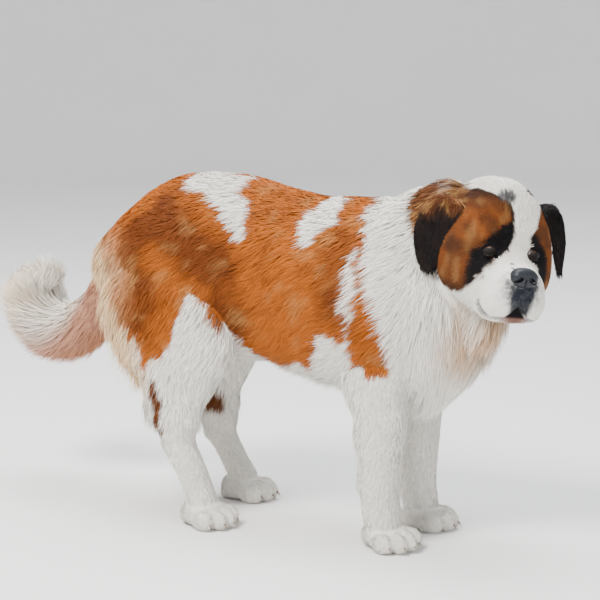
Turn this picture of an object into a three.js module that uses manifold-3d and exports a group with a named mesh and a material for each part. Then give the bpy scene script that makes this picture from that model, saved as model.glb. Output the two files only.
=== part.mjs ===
import * as THREE from 'three';
import Module from 'manifold-3d';

const wasm = await Module();
wasm.setup();

// A standing long-haired saint bernard at life size, in millimetres.
// x runs to the dog's front, y to its left, z up, and the soles are at z = 0.
const meetGap = 0.35; // clearance kept where two pieces meet
const shortestEdge = 0.15; // shorter edges left by a cut are closed up
const earLooseness = 0.45; // how far the ears' cut edges are evened out
const earGap = 0.9; // clearance of the ears from the head and neck
const degree = Math.PI / 180;

// Head: its own axes start midway between the eyes and run forward, left and up.
const headPlace = [234, -31, 651];
const headTurn = { yaw: -45 * degree, nod: 5 * degree, lean: -7 * degree };
const eyePlace = { x: 76, y: 46, z: 0 };
const eyeRadius = 14;
const lidThickness = 4.6;
const nosePad = { x: 163, z: -30, halfWidth: 29, halfHeight: 20, depth: 18 };
const nostril = { y: 12, z: -30, width: 6.5, height: 5, depth: 12 };
const earRoot = { x: -38, y: 104, z: 74 };
const earLength = 158;
const earThickness = 9;

// Legs: where each paw stands and how far its toes turn out.
const pawSize = { length: 140, width: 108, height: 64 };
const toeRadius = { x: 31, y: 17, z: 25 };
const clawLength = 15;
const clawRadius = 4.4;
const foreWristHeight = 58;
const foreElbowHeight = 292;
const hindAnkleHeight = 58;
const hindKneeHeight = 300;
const legPlaces = {
  fore_right: { x: 22, y: -99, toeOut: -24 * degree },
  fore_left: { x: 14, y: 92, toeOut: 4 * degree },
  hind_right: { x: -412, y: -134, toeOut: -14 * degree },
  hind_left: { x: -462, y: 116, toeOut: 8 * degree },
};

// Long coat: how far the plain core stays inside the tips, and the size of the locks.
const coatDepth = { breeches: 34, ruff: 20, belly: 16, elbow: 10 };
const plumeCore = 0.52; // share of the plume's reach that its core takes
const lockSink = 16; // how deep a root is sunk
const lockSizes = {
  tail: { length: 116, width: 62, thick: 16 },
  breeches: { length: 112, width: 54, thick: 15 },
  ruff: { length: 92, width: 56, thick: 13 },
  belly: { length: 92, width: 58, thick: 12 },
  elbow: { length: 74, width: 36, thick: 11 },
};

// Coat colours of the plain solids.
const coatWhite = new THREE.Color(0xe9e2d6);
const coatRust = new THREE.Color(0xa8602c);
const coatDark = new THREE.Color(0x33251d);
const coatCream = new THREE.Color(0xdcc9ad);

function fur(colour) {
  return new THREE.MeshStandardMaterial({ color: colour, roughness: 0.85, metalness: 0 });
}

function moistSkin(colour) {
  return new THREE.MeshStandardMaterial({ color: colour, roughness: 0.35, metalness: 0 });
}

// Smooth reading of one number from a list of stations, t from 0 to 1.
function readSmooth(values, t) {
  const last = values.length - 1;
  const place = Math.min(t * last, last - 1e-9);
  const i = Math.floor(place);
  const f = place - i;
  const p0 = values[Math.max(i - 1, 0)];
  const p1 = values[i];
  const p2 = values[i + 1];
  const p3 = values[Math.min(i + 2, last)];
  const bend = 2 * p0 - 5 * p1 + 4 * p2 - p3;
  const twist = 3 * p1 - p0 - 3 * p2 + p3;
  return p1 + 0.5 * f * (p2 - p0 + f * (bend + f * twist));
}

function stationAt(stations, t) {
  const station = {};
  for (const key of Object.keys(stations[0])) {
    station[key] = readSmooth(stations.map((each) => each[key]), t);
  }
  return station;
}

// A closed solid from rings of points, each end closed on its middle point.
function solidFromRings(rings) {
  const count = rings[0].length;
  const points = rings.flat();
  const ends = [rings[0], rings[rings.length - 1]];
  for (const ring of ends) {
    const middle = new THREE.Vector3();
    ring.forEach((point) => middle.addScaledVector(point, 1 / count));
    points.push(middle);
  }
  const faces = [];
  for (let i = 0; i + 1 < rings.length; i += 1) {
    for (let k = 0; k < count; k += 1) {
      const a = i * count + k;
      const b = i * count + ((k + 1) % count);
      faces.push([a, b, b + count], [a, b + count, a + count]);
    }
  }
  const startMiddle = points.length - 2;
  const endMiddle = points.length - 1;
  const endBase = (rings.length - 1) * count;
  for (let k = 0; k < count; k += 1) {
    const next = (k + 1) % count;
    faces.push([startMiddle, next, k]);
    faces.push([endMiddle, endBase + k, endBase + next]);
  }
  return solidFromFaces(points, faces);
}

function solidFromFaces(points, faces) {
  let volume = 0;
  for (const [a, b, c] of faces) {
    volume += points[a].dot(new THREE.Vector3().crossVectors(points[b], points[c]));
  }
  const outward = volume > 0 ? faces : faces.map(([a, b, c]) => [a, c, b]);
  const mesh = new wasm.Mesh({
    numProp: 3,
    vertProperties: new Float32Array(points.flatMap((point) => point.toArray())),
    triVerts: new Uint32Array(outward.flat()),
  });
  return new wasm.Manifold(mesh);
}

// A bump pushes the surface along its outward direction round one point.
function pushedBy(bumps, point, outward) {
  const moved = point.clone();
  for (const bump of bumps) {
    const away = point.distanceToSquared(bump.at) / (bump.reach * bump.reach);
    moved.addScaledVector(outward, bump.push * Math.exp(-away));
  }
  return moved;
}

// One point of a body drawn through stations. Each station has a middle, a half width to the
// sides, and its own reach up and down. taper narrows its top, and a corner above 2 squares it.
function surfaceAt(stations, t, angle, { axes, grow = 0, bumps = [], square = 2 }) {
  const station = stationAt(stations, t);
  const { side, up, along } = axes(t);
  const c = Math.cos(angle);
  const s = Math.sin(angle);
  const corner = station.corner ?? square;
  const round = (Math.abs(c) ** corner + Math.abs(s) ** corner) ** (-1 / corner);
  const reach = s > 0 ? station.up : station.down;
  const narrow = 1 - (station.taper ?? 0) * Math.max(s, 0) ** 1.5;
  const outward = new THREE.Vector3();
  outward.addScaledVector(side, c);
  outward.addScaledVector(up, s);
  const point = new THREE.Vector3(station.x, station.y, station.z);
  point.addScaledVector(along, grow * (2 * t - 1));
  point.addScaledVector(side, (station.side * narrow + grow) * c * round);
  point.addScaledVector(up, (reach + grow) * s * round);
  return { point: pushedBy(bumps, point, outward), outward };
}

function loft(stations, options) {
  const { rings, around } = options;
  const list = [];
  for (let i = 0; i <= rings; i += 1) {
    const ring = [];
    for (let k = 0; k < around; k += 1) {
      ring.push(surfaceAt(stations, i / rings, (2 * Math.PI * k) / around, options).point);
    }
    list.push(ring);
  }
  return solidFromRings(list);
}

// Repeatable random draws between 0 and 1.
function seededDraws(seed) {
  let state = seed;
  return () => {
    state = (state * 1664525 + 1013904223) % 4294967296;
    return state / 4294967296;
  };
}

// A flat, tapered lock of long hair. It leaves its sunk root, follows the lie of the coat,
// rises off the body half way along and bends down and in again at its tip.
function lockBody({ root, outward, flow, length, width, thick, sag, grow = 0 }) {
  const across = new THREE.Vector3().crossVectors(flow, outward).normalize();
  const face = new THREE.Vector3().crossVectors(across, flow).normalize();
  const rings = [];
  const steps = 3;
  for (let i = 0; i <= steps; i += 1) {
    const t = i / steps;
    const middle = root.clone().addScaledVector(outward, -lockSink * (1 - t) ** 2);
    middle.addScaledVector(flow, (length + grow) * t - (i === 0 ? 6 + grow : 0));
    middle.addScaledVector(face, length * 0.12 * Math.sin(Math.PI * 0.95 * t));
    middle.z -= sag * length * t * t;
    const spread = (0.62 + 0.38 * Math.sin(Math.PI * Math.min(1.25 * t, 1))) * (1 - t ** 2.4);
    const halfWidth = (width / 2) * spread + 1.2 + grow;
    const halfThick = (thick / 2) * (1 - 0.8 * t) + grow;
    rings.push([
      middle.clone().addScaledVector(across, halfWidth),
      middle.clone().addScaledVector(face, halfThick),
      middle.clone().addScaledVector(across, -halfWidth),
      middle.clone().addScaledVector(face, -halfThick),
    ]);
  }
  return solidFromRings(rings);
}

// Rows of locks over a stretch of a body. Each row is shifted by half a step, so they overlap.
function coatLocks({ rows, perRow, from, to, angles, at, flow, size, sag, seed, grow }) {
  const draw = seededDraws(seed);
  const locks = [];
  for (let row = 0; row < rows; row += 1) {
    for (let k = 0; k < perRow; k += 1) {
      const shift = row % 2 === 0 ? 0.25 : 0.75;
      const t = from + ((to - from) * (row + 0.5 * draw())) / rows;
      const f = (k + shift + 0.3 * (draw() - 0.5)) / perRow;
      const { point, outward, along } = at(t, angles[0] + (angles[1] - angles[0]) * f);
      const lie = flow({ outward, along }).normalize();
      const stretch = 0.85 + 0.3 * draw();
      const broad = 0.85 + 0.3 * draw();
      locks.push(lockBody({
        root: point,
        outward,
        flow: lie,
        length: size.length * stretch,
        width: size.width * broad,
        thick: size.thick,
        sag,
        grow: 2 * grow,
      }));
    }
  }
  return fused(locks);
}

const alongBody = () => ({
  along: new THREE.Vector3(1, 0, 0),
  side: new THREE.Vector3(0, 1, 0),
  up: new THREE.Vector3(0, 0, 1),
});

const downLeg = () => ({
  along: new THREE.Vector3(0, 0, -1),
  side: new THREE.Vector3(0, 1, 0),
  up: new THREE.Vector3(1, 0, 0),
});

function alongTilted(direction) {
  const along = new THREE.Vector3(...direction).normalize();
  const side = new THREE.Vector3(0, 0, 1).cross(along).normalize();
  const up = along.clone().cross(side).normalize();
  return () => ({ along, side, up });
}

function ellipsoid(place, radii, around = 12, high = 8) {
  const rings = [];
  for (let i = 1; i < high; i += 1) {
    const polar = (Math.PI * i) / high;
    const ring = [];
    for (let k = 0; k < around; k += 1) {
      const angle = (2 * Math.PI * k) / around;
      const across = Math.sin(polar);
      ring.push(new THREE.Vector3(
        place[0] + radii[0] * Math.cos(polar),
        place[1] + radii[1] * across * Math.cos(angle),
        place[2] + radii[2] * across * Math.sin(angle),
      ));
    }
    rings.push(ring);
  }
  return solidFromRings(rings);
}

function fused(solids) {
  return solids.reduce((whole, piece) => whole.add(piece));
}

function largestOf(solid) {
  const pieces = solid.decompose();
  return pieces.reduce((best, piece) => (piece.volume() > best.volume() ? piece : best));
}

// Torso from the rump to the front of the chest, with the coat.
const torsoStations = [
  { x: -768, y: 0, z: 566, side: 46, up: 26, down: 44, taper: 0 },
  { x: -738, y: 0, z: 566, side: 92, up: 70, down: 88, taper: 0 },
  { x: -690, y: 0, z: 566, side: 126, up: 110, down: 128, taper: 0 },
  { x: -630, y: 0, z: 570, side: 146, up: 152, down: 162, taper: 0.02 },
  { x: -555, y: 0, z: 574, side: 158, up: 188, down: 190, taper: 0.05 },
  { x: -460, y: 0, z: 574, side: 160, up: 201, down: 206, taper: 0.08 },
  { x: -365, y: 0, z: 566, side: 156, up: 203, down: 210, taper: 0.1 },
  { x: -280, y: 0, z: 556, side: 160, up: 193, down: 220, taper: 0.1 },
  { x: -190, y: 0, z: 548, side: 170, up: 189, down: 226, taper: 0.12 },
  { x: -100, y: 0, z: 542, side: 178, up: 196, down: 232, taper: 0.18 },
  { x: -20, y: 0, z: 540, side: 178, up: 201, down: 238, taper: 0.26 },
  { x: 55, y: 0, z: 538, side: 162, up: 184, down: 244, taper: 0.34 },
  { x: 120, y: 0, z: 530, side: 138, up: 136, down: 210, taper: 0.36 },
  { x: 176, y: 0, z: 518, side: 106, up: 92, down: 152, taper: 0.3 },
  { x: 216, y: 0, z: 508, side: 62, up: 50, down: 88, taper: 0.2 },
];

const bellyReach = [-330, 60];

// The belly and the brisket lose their fringe, which the locks bring back.
function fringeless(stations) {
  return stations.map((station) => {
    const fringed = station.x > bellyReach[0] && station.x < bellyReach[1];
    return { ...station, down: station.down - (fringed ? coatDepth.belly : 0) };
  });
}

function torsoBody(grow) {
  const bumps = [];
  for (const hand of [-1, 1]) {
    bumps.push({ at: new THREE.Vector3(20, 165 * hand, 500), reach: 95, push: 12 });
    bumps.push({ at: new THREE.Vector3(-190, 170 * hand, 620), reach: 80, push: 5 });
    bumps.push({ at: new THREE.Vector3(-330, 160 * hand, 470), reach: 85, push: -13 });
    bumps.push({ at: new THREE.Vector3(-560, 155 * hand, 600), reach: 100, push: 10 });
  }
  const stations = fringeless(torsoStations);
  const form = { rings: 20, around: 22, axes: alongBody, grow, bumps, square: 2.15 };
  const fringe = coatLocks({
    rows: 5,
    perRow: 2,
    from: 0.5,
    to: 0.76,
    angles: [-122 * degree, -58 * degree],
    at: (t, angle) => surfaceAt(stations, t, angle, { ...form, grow: 0 }),
    flow: ({ outward }) => new THREE.Vector3(-0.95, 0, -0.1).addScaledVector(outward, 0.1),
    size: lockSizes.belly,
    sag: 0.1,
    seed: 11,
    grow,
  });
  return loft(stations, form).add(fringe);
}

// Neck with its ruff, from the shoulders up to the back of the skull and the throat.
const neckStations = [
  { x: -30, y: 0, z: 590, side: 134, up: 140, down: 130 },
  { x: 20, y: 0, z: 606, side: 138, up: 148, down: 168 },
  { x: 78, y: 0, z: 622, side: 114, up: 154, down: 205 },
  { x: 134, y: -6, z: 630, side: 102, up: 157, down: 220 },
  { x: 184, y: -16, z: 626, side: 96, up: 146, down: 208 },
  { x: 226, y: -24, z: 612, side: 76, up: 98, down: 168 },
  { x: 254, y: -28, z: 594, side: 42, up: 46, down: 104 },
];

function neckBody(grow) {
  const axes = alongTilted([0.97, -0.12, 0.12]);
  const form = { rings: 11, around: 20, axes, grow, square: 2.1 };
  const stations = neckStations.map((station) => ({ ...station, down: station.down - coatDepth.ruff }));
  const ruff = coatLocks({
    rows: 3,
    perRow: 4,
    from: 0.66,
    to: 0.96,
    angles: [-160 * degree, -20 * degree],
    at: (t, angle) => surfaceAt(stations, t, angle, { ...form, grow: 0 }),
    flow: ({ outward }) => new THREE.Vector3(-0.42, 0, -0.9).addScaledVector(outward, 0.14),
    size: lockSizes.ruff,
    sag: 0.04,
    seed: 23,
    grow,
  });
  return loft(stations, form).add(ruff);
}

// Head, jaw, nose, ears and eyes in the head's own axes.
const skullStations = [
  { x: -126, y: 0, z: 26, side: 34, up: 34, down: 40, taper: 0, corner: 2.1 },
  { x: -108, y: 0, z: 18, side: 78, up: 80, down: 82, taper: 0.05, corner: 2.1 },
  { x: -74, y: 0, z: 8, side: 106, up: 118, down: 106, taper: 0.12, corner: 2.2 },
  { x: -36, y: 0, z: -2, side: 117, up: 136, down: 118, taper: 0.2, corner: 2.3 },
  { x: 2, y: 0, z: -10, side: 119, up: 138, down: 120, taper: 0.26, corner: 2.3 },
  { x: 34, y: 0, z: -22, side: 108, up: 127, down: 112, taper: 0.26, corner: 2.3 },
  { x: 58, y: 0, z: -34, side: 90, up: 99, down: 100, taper: 0.18, corner: 2.4 },
  { x: 80, y: 0, z: -52, side: 76, up: 66, down: 82, taper: 0.14, corner: 2.6 },
  { x: 102, y: 0, z: -66, side: 69, up: 60, down: 68, taper: 0.16, corner: 2.8 },
  { x: 126, y: 0, z: -70, side: 66, up: 59, down: 63, taper: 0.18, corner: 2.9 },
  { x: 147, y: 0, z: -69, side: 60, up: 57, down: 58, taper: 0.18, corner: 2.8 },
  { x: 162, y: 0, z: -67, side: 52, up: 53, down: 50, taper: 0.15, corner: 2.6 },
  { x: 171, y: 0, z: -67, side: 38, up: 44, down: 38, taper: 0.1, corner: 2.4 },
  { x: 176, y: 0, z: -67, side: 14, up: 20, down: 15, taper: 0, corner: 2.2 },
];

function skullBumps() {
  const bumps = [];
  for (const hand of [-1, 1]) {
    bumps.push({ at: new THREE.Vector3(68, 40 * hand, 34), reach: 24, push: 10 });
    bumps.push({ at: new THREE.Vector3(82, 50 * hand, -2), reach: 20, push: -5 });
    bumps.push({ at: new THREE.Vector3(20, 104 * hand, -70), reach: 46, push: 10 });
    bumps.push({ at: new THREE.Vector3(112, 58 * hand, -112), reach: 32, push: 9 });
    bumps.push({ at: new THREE.Vector3(90, 70 * hand, -44), reach: 22, push: -6 });
  }
  bumps.push({ at: new THREE.Vector3(82, 0, 26), reach: 18, push: -8 });
  return bumps;
}

function skullBody(grow) {
  const bumps = skullBumps();
  return loft(skullStations, { rings: 25, around: 24, axes: alongBody, grow, bumps });
}

const jawStations = [
  { x: 20, y: 0, z: -102, side: 26, up: 12, down: 22 },
  { x: 60, y: 0, z: -108, side: 34, up: 14, down: 25 },
  { x: 105, y: 0, z: -111, side: 34, up: 14, down: 25 },
  { x: 136, y: 0, z: -110, side: 29, up: 13, down: 23 },
  { x: 153, y: 0, z: -107, side: 19, up: 9, down: 15 },
];

function jawBody(grow) {
  return loft(jawStations, { rings: 7, around: 14, axes: alongBody, grow });
}

// The cleft between the two flews, under the nose, where the chin shows.
function lipCleft() {
  const rings = [104, 190].map((x) => [
    new THREE.Vector3(x, 0, -86),
    new THREE.Vector3(x, 9, -101),
    new THREE.Vector3(x, 38, -150),
    new THREE.Vector3(x, -38, -150),
    new THREE.Vector3(x, -9, -101),
  ]);
  return solidFromRings(rings);
}

// The line of the mouth on each side: a thin cut from the corner down behind the flew.
function lipLine(hand) {
  const route = [[52, 112, -84], [78, 104, -98], [104, 96, -118], [124, 84, -136]];
  const depth = 42;
  const halfWidth = 1.4;
  const rings = route.map(([x, y, z]) => {
    const outer = new THREE.Vector3(x, y * hand, z);
    const inner = new THREE.Vector3(x, (y - depth) * hand, z + 4);
    const across = new THREE.Vector3(-halfWidth, 0, halfWidth);
    return [outer.clone().add(across), inner.clone().add(across), inner.sub(across), outer.sub(across)];
  });
  return solidFromRings(rings);
}

function noseBody(grow) {
  const { x, z, halfWidth, halfHeight, depth } = nosePad;
  const radii = [depth + grow, halfWidth + grow, halfHeight + grow];
  return ellipsoid([x, 0, z], radii, 14, 8);
}

function nostrilBody(hand) {
  const { y, z, width, height, depth } = nostril;
  return ellipsoid([nosePad.x + nosePad.depth, y * hand, z], [depth, width, height], 8, 5);
}

function eyeBody(hand, grow) {
  const radius = eyeRadius + grow;
  return ellipsoid([eyePlace.x, eyePlace.y * hand, eyePlace.z], [radius, radius, radius], 10, 7);
}

// A lid is a bent roll round the eyeball, above or below its opening.
function lidBody(hand, rise) {
  const facing = new THREE.Vector3(0.82, 0.57 * hand, 0).normalize();
  const sideways = new THREE.Vector3(-facing.y, facing.x, 0);
  const middle = new THREE.Vector3(eyePlace.x, eyePlace.y * hand, eyePlace.z);
  const rings = [];
  const steps = 5;
  for (let i = 0; i <= steps; i += 1) {
    const swing = (-62 + (124 * i) / steps) * degree;
    const lift = Math.cos(swing) * rise;
    const out = new THREE.Vector3();
    out.addScaledVector(facing, Math.cos(swing) * 0.86);
    out.addScaledVector(sideways, Math.sin(swing));
    out.z = lift;
    out.normalize();
    const centre = middle.clone().addScaledVector(out, eyeRadius + 0.5);
    const thick = lidThickness * (0.55 + 0.45 * Math.cos(swing));
    const across = new THREE.Vector3(0, 0, 1).addScaledVector(out, -out.z).normalize();
    const ring = [];
    for (let k = 0; k < 6; k += 1) {
      const angle = (Math.PI * k) / 3;
      const point = centre.clone();
      point.addScaledVector(out, thick * Math.cos(angle));
      point.addScaledVector(across, thick * Math.sin(angle));
      ring.push(point);
    }
    rings.push(ring);
  }
  return solidFromRings(rings);
}

// A drop ear: a folded flap with a cupped inner side. Its front edge lies by the cheek
// and its back edge stands away, and it hangs plumb although the head leans.
const earFall = [
  { out: -12, drop: 8, back: 6, width: 34, cup: 14, stand: 0.1 },
  { out: 12, drop: -4, back: 0, width: 46, cup: 15, stand: 0.3 },
  { out: 32, drop: 18, back: -4, width: 52, cup: 12, stand: 0.5 },
  { out: 46, drop: 62, back: -8, width: 50, cup: 9, stand: 0.55 },
  { out: 50, drop: 104, back: -10, width: 38, cup: 7, stand: 0.55 },
  { out: 50, drop: 138, back: -10, width: 18, cup: 4, stand: 0.5 },
];

// The right ear is pushed forward and open by the neck that the head is turned against.
const earOpen = {
  right: { stand: 1.2, forward: 18, width: 0.82 },
  left: { stand: 1, forward: 0, width: 1 },
};

function earMiddle(hand, t, f) {
  const plumb = hand * Math.tan(-headTurn.lean);
  const open = hand > 0 ? earOpen.left : earOpen.right;
  const { out, drop, back, width: plainWidth, cup, stand: plainStand } = stationAt(earFall, t);
  const stand = plainStand * open.stand;
  const width = plainWidth * open.width;
  const forward = back + open.forward * Math.min(2 * t, 1);
  const fallen = (drop / 138) * earLength;
  const x = earRoot.x + forward + width * f * (1 - 0.3 * stand);
  const y = earRoot.y + out + plumb * fallen - cup * f * f - stand * width * f;
  const z = earRoot.z - fallen + 6 * (1 - f * f) * (1 - t);
  return new THREE.Vector3(x, y * hand, z);
}

function earBody(hand) {
  const rings = [];
  const steps = 10;
  const across = 7;
  const step = 0.01;
  for (let i = 0; i <= steps; i += 1) {
    const t = i / steps;
    const thick = earThickness * (1 - 0.45 * t);
    const outer = [];
    const inner = [];
    for (let k = 0; k < across; k += 1) {
      const f = (2 * k) / (across - 1) - 1;
      const edge = Math.sqrt(Math.max(1 - f * f, 0));
      const half = thick * (0.25 + 0.75 * edge);
      const middle = earMiddle(hand, t, f);
      const last = Math.min(t + step, 1);
      const first = Math.max(t - step, 0);
      const down = earMiddle(hand, last, f).sub(earMiddle(hand, first, f));
      const wide = earMiddle(hand, t, f + step).sub(earMiddle(hand, t, f - step));
      const outward = wide.cross(down).multiplyScalar(hand).normalize();
      outer.push(middle.clone().addScaledVector(outward, half));
      inner.push(middle.clone().addScaledVector(outward, -half));
    }
    rings.push(outer.concat(inner.reverse()));
  }
  return solidFromRings(rings);
}

// Forelegs, from inside the chest to the wrist, in place.
function forelegBody(leg, grow = 0) {
  const hand = Math.sign(leg.y);
  const at = (dx, dy, z, side, up, back) => {
    const down = z > 160 ? back - coatDepth.elbow : back;
    return { x: leg.x - 22 + dx, y: leg.y - dy * hand, z, side, up, down };
  };
  const stations = [
    at(10, 24, 450, 50, 84, 88),
    at(-6, 14, 395, 62, 80, 92),
    at(-10, 6, 340, 63, 72, 84),
    at(-2, 2, 290, 58, 66, 70),
    at(0, 0, 235, 53, 60, 62),
    at(0, 0, 180, 50, 53, 55),
    at(0, 0, 135, 51, 50, 51),
    at(4, 0, 95, 48, 45, 46),
    at(10, 0, 55, 48, 44, 44),
    at(14, 0, 22, 42, 40, 38),
  ];
  const form = { rings: 12, around: 14, axes: downLeg, grow, square: 2.1 };
  const feathering = coatLocks({
    rows: 3,
    perRow: 1,
    from: 0.28,
    to: 0.62,
    angles: [-105 * degree, -75 * degree],
    at: (t, angle) => surfaceAt(stations, t, angle, { ...form, grow: 0 }),
    flow: ({ outward }) => new THREE.Vector3(-0.1, 0, -0.95).addScaledVector(outward, 0.12),
    size: lockSizes.elbow,
    sag: 0.04,
    seed: hand > 0 ? 61 : 67,
    grow,
  });
  return loft(stations, form).add(feathering);
}

// Hind legs, from inside the hip to above the paw. hockBack moves the hock behind the paw.
function hindlegBody(leg, hock, grow = 0) {
  const hand = Math.sign(leg.y);
  const outline = [
    { x: -600, y: 80 * hand, z: 622, side: 30, up: 60, down: 50 },
    { x: -585, y: 94 * hand, z: 572, side: 62, up: 132, down: 104 },
    { x: -560, y: 103 * hand, z: 510, side: 76, up: 184, down: 150 },
    { x: hock.x - 38, y: 105 * hand, z: 440, side: 76, up: 168, down: 168 },
    { x: hock.x - 20, y: 109 * hand, z: 380, side: 70, up: 150, down: 146 },
    { x: hock.x - 10, y: 114 * hand, z: 320, side: 60, up: 102, down: 110 },
    { x: hock.x - 10, y: 119 * hand, z: 262, side: 50, up: 68, down: 80 },
    { x: hock.x, y: leg.y, z: hock.z + 30, side: 43, up: 50, down: 46 },
    { x: hock.x + 2, y: leg.y, z: hock.z, side: 42, up: 44, down: 42 },
    { x: hock.x * 0.5 + leg.x * 0.5, y: leg.y, z: hock.z * 0.62, side: 43, up: 37, down: 36 },
    { x: leg.x - 14, y: leg.y, z: 58, side: 45, up: 39, down: 36 },
    { x: leg.x - 4, y: leg.y, z: 22, side: 41, up: 37, down: 33 },
  ];
  const stations = outline.map((station) => {
    const bushy = Math.min(Math.max((station.z - 250) / 90, 0), 1);
    return { ...station, down: station.down - coatDepth.breeches * bushy };
  });
  const form = { rings: 18, around: 16, axes: downLeg, grow, square: 2.1 };
  const breeches = coatLocks({
    rows: 5,
    perRow: 3,
    from: 0.12,
    to: 0.5,
    angles: [-90 * degree - hand * 62 * degree, -90 * degree + hand * 34 * degree],
    at: (t, angle) => surfaceAt(stations, t, angle, { ...form, grow: 0 }),
    flow: ({ outward }) => new THREE.Vector3(-0.06, 0, -0.95).addScaledVector(outward, 0.2),
    size: lockSizes.breeches,
    sag: 0.06,
    seed: hand > 0 ? 37 : 41,
    grow,
  });
  return loft(stations, form).add(breeches);
}

const hocks = {
  hind_right: { x: -484, z: 176 },
  hind_left: { x: -532, z: 150 },
};

// A paw in its own axes, toes to the front, with four arched toes and flat pads.
function toePlaces() {
  const { length, width } = pawSize;
  const reach = length * 0.5;
  return [
    { x: reach - 42, y: -width * 0.375, claw: 26 },
    { x: reach - 25, y: -width * 0.13, claw: 30 },
    { x: reach - 25, y: width * 0.13, claw: 30 },
    { x: reach - 42, y: width * 0.375, claw: 26 },
  ];
}

function pawBody() {
  const { length, width, height } = pawSize;
  const stations = [
    { x: -length * 0.4, y: 0, z: 20, side: 22, up: 18, down: 20 },
    { x: -length * 0.33, y: 0, z: 26, side: 38, up: 32, down: 28 },
    { x: -length * 0.12, y: 0, z: 30, side: width * 0.45, up: height - 30, down: 32 },
    { x: length * 0.12, y: 0, z: 26, side: width * 0.47, up: height - 34, down: 28 },
    { x: length * 0.28, y: 0, z: 22, side: width * 0.4, up: 22, down: 24 },
    { x: length * 0.36, y: 0, z: 20, side: width * 0.3, up: 12, down: 16 },
  ];
  const main = loft(stations, { rings: 6, around: 10, axes: alongBody, square: 2.2 });
  const toes = toePlaces().map(({ x, y }) => {
    return ellipsoid([x, y, toeRadius.z - 3], [toeRadius.x, toeRadius.y, toeRadius.z], 6, 5);
  });
  return fused([main, ...toes]).trimByPlane([0, 0, 1], 0);
}

function clawBody(toe, grow) {
  const start = toe.x + toeRadius.x - 9;
  const rings = [];
  for (let i = 0; i <= 3; i += 1) {
    const t = i / 3;
    const radius = clawRadius * (1 - 0.72 * t) + grow;
    const x = start - grow + (clawLength + 2 * grow) * t;
    const z = 20 - 11 * t * t;
    const ring = [];
    for (let k = 0; k < 6; k += 1) {
      const angle = (Math.PI * k) / 3;
      ring.push(new THREE.Vector3(x, toe.y + radius * Math.cos(angle), z + radius * Math.sin(angle)));
    }
    rings.push(ring);
  }
  return solidFromRings(rings);
}

// Tail: a plume that hangs behind the breeches and curls up at its end.
const tailRoute = new THREE.CatmullRomCurve3([
  new THREE.Vector3(-704, 4, 596),
  new THREE.Vector3(-756, 22, 532),
  new THREE.Vector3(-800, 38, 452),
  new THREE.Vector3(-858, 44, 396),
  new THREE.Vector3(-926, 42, 378),
  new THREE.Vector3(-982, 38, 402),
  new THREE.Vector3(-1000, 32, 446),
  new THREE.Vector3(-976, 28, 486),
]);
const tailSplit = 0.56;
const plumeRadius = [
  { reach: 32 },
  { reach: 46 },
  { reach: 62 },
  { reach: 74 },
  { reach: 80 },
  { reach: 80 },
  { reach: 70 },
  { reach: 34 },
];

function tailSurface(t, angle, share, grow) {
  const along = tailRoute.getTangentAt(t);
  const side = new THREE.Vector3(0, 1, 0);
  const up = along.clone().cross(side).normalize();
  const outward = side.clone().multiplyScalar(Math.cos(angle)).addScaledVector(up, Math.sin(angle));
  const reach = stationAt(plumeRadius, t).reach * share + grow;
  const point = tailRoute.getPointAt(t).addScaledVector(outward, reach);
  return { point, outward, along };
}

function tailBody(grow) {
  const rings = [];
  const steps = 14;
  const around = 12;
  for (let i = 0; i <= steps; i += 1) {
    const ring = [];
    for (let k = 0; k < around; k += 1) {
      ring.push(tailSurface(i / steps, (2 * Math.PI * k) / around, plumeCore, grow).point);
    }
    rings.push(ring);
  }
  const plume = coatLocks({
    rows: 7,
    perRow: 4,
    from: 0.12,
    to: 0.84,
    angles: [0, 2 * Math.PI],
    at: (t, angle) => tailSurface(t, angle, plumeCore, 0),
    flow: ({ outward, along }) => along.clone().multiplyScalar(0.95).addScaledVector(outward, 0.2),
    size: lockSizes.tail,
    sag: 0.04,
    seed: 53,
    grow,
  });
  return solidFromRings(rings).add(plume);
}

// Assembly: every solid is worked out in the dog's axes and handed to the group it belongs to.
const dog = new THREE.Group();
const headGroup = new THREE.Group();
headGroup.position.set(...headPlace);
headGroup.rotation.set(headTurn.lean, headTurn.nod, headTurn.yaw, 'ZYX');
dog.add(headGroup);
dog.updateMatrixWorld(true);
const headMatrix = headGroup.matrixWorld.clone();

function carried(solid, matrix) {
  return solid.transform(matrix.toArray());
}

function addNode(group, name, solid, material) {
  const whole = largestOf(solid).simplify(shortestEdge);
  const { numProp, vertProperties, triVerts } = whole.getMesh();
  const positions = new Float32Array((vertProperties.length / numProp) * 3);
  for (let i = 0; i < positions.length / 3; i += 1) {
    for (let axis = 0; axis < 3; axis += 1) {
      positions[3 * i + axis] = vertProperties[numProp * i + axis];
    }
  }
  const geometry = new THREE.BufferGeometry();
  geometry.setAttribute('position', new THREE.BufferAttribute(positions, 3));
  geometry.setIndex(new THREE.BufferAttribute(new Uint32Array(triVerts), 1));
  geometry.computeVertexNormals();
  const mesh = new THREE.Mesh(geometry, material);
  mesh.name = name;
  group.add(mesh);
}

function buildTrunk() {
  const headInPlace = carried(skullBody(meetGap).add(jawBody(meetGap)), headMatrix);
  const torso = torsoBody(0).subtract(headInPlace);
  const neck = neckBody(0).subtract(torsoBody(meetGap)).subtract(headInPlace);
  addNode(dog, 'torso', torso, fur(coatRust));
  addNode(dog, 'neck', neck, fur(coatWhite));
}

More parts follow.
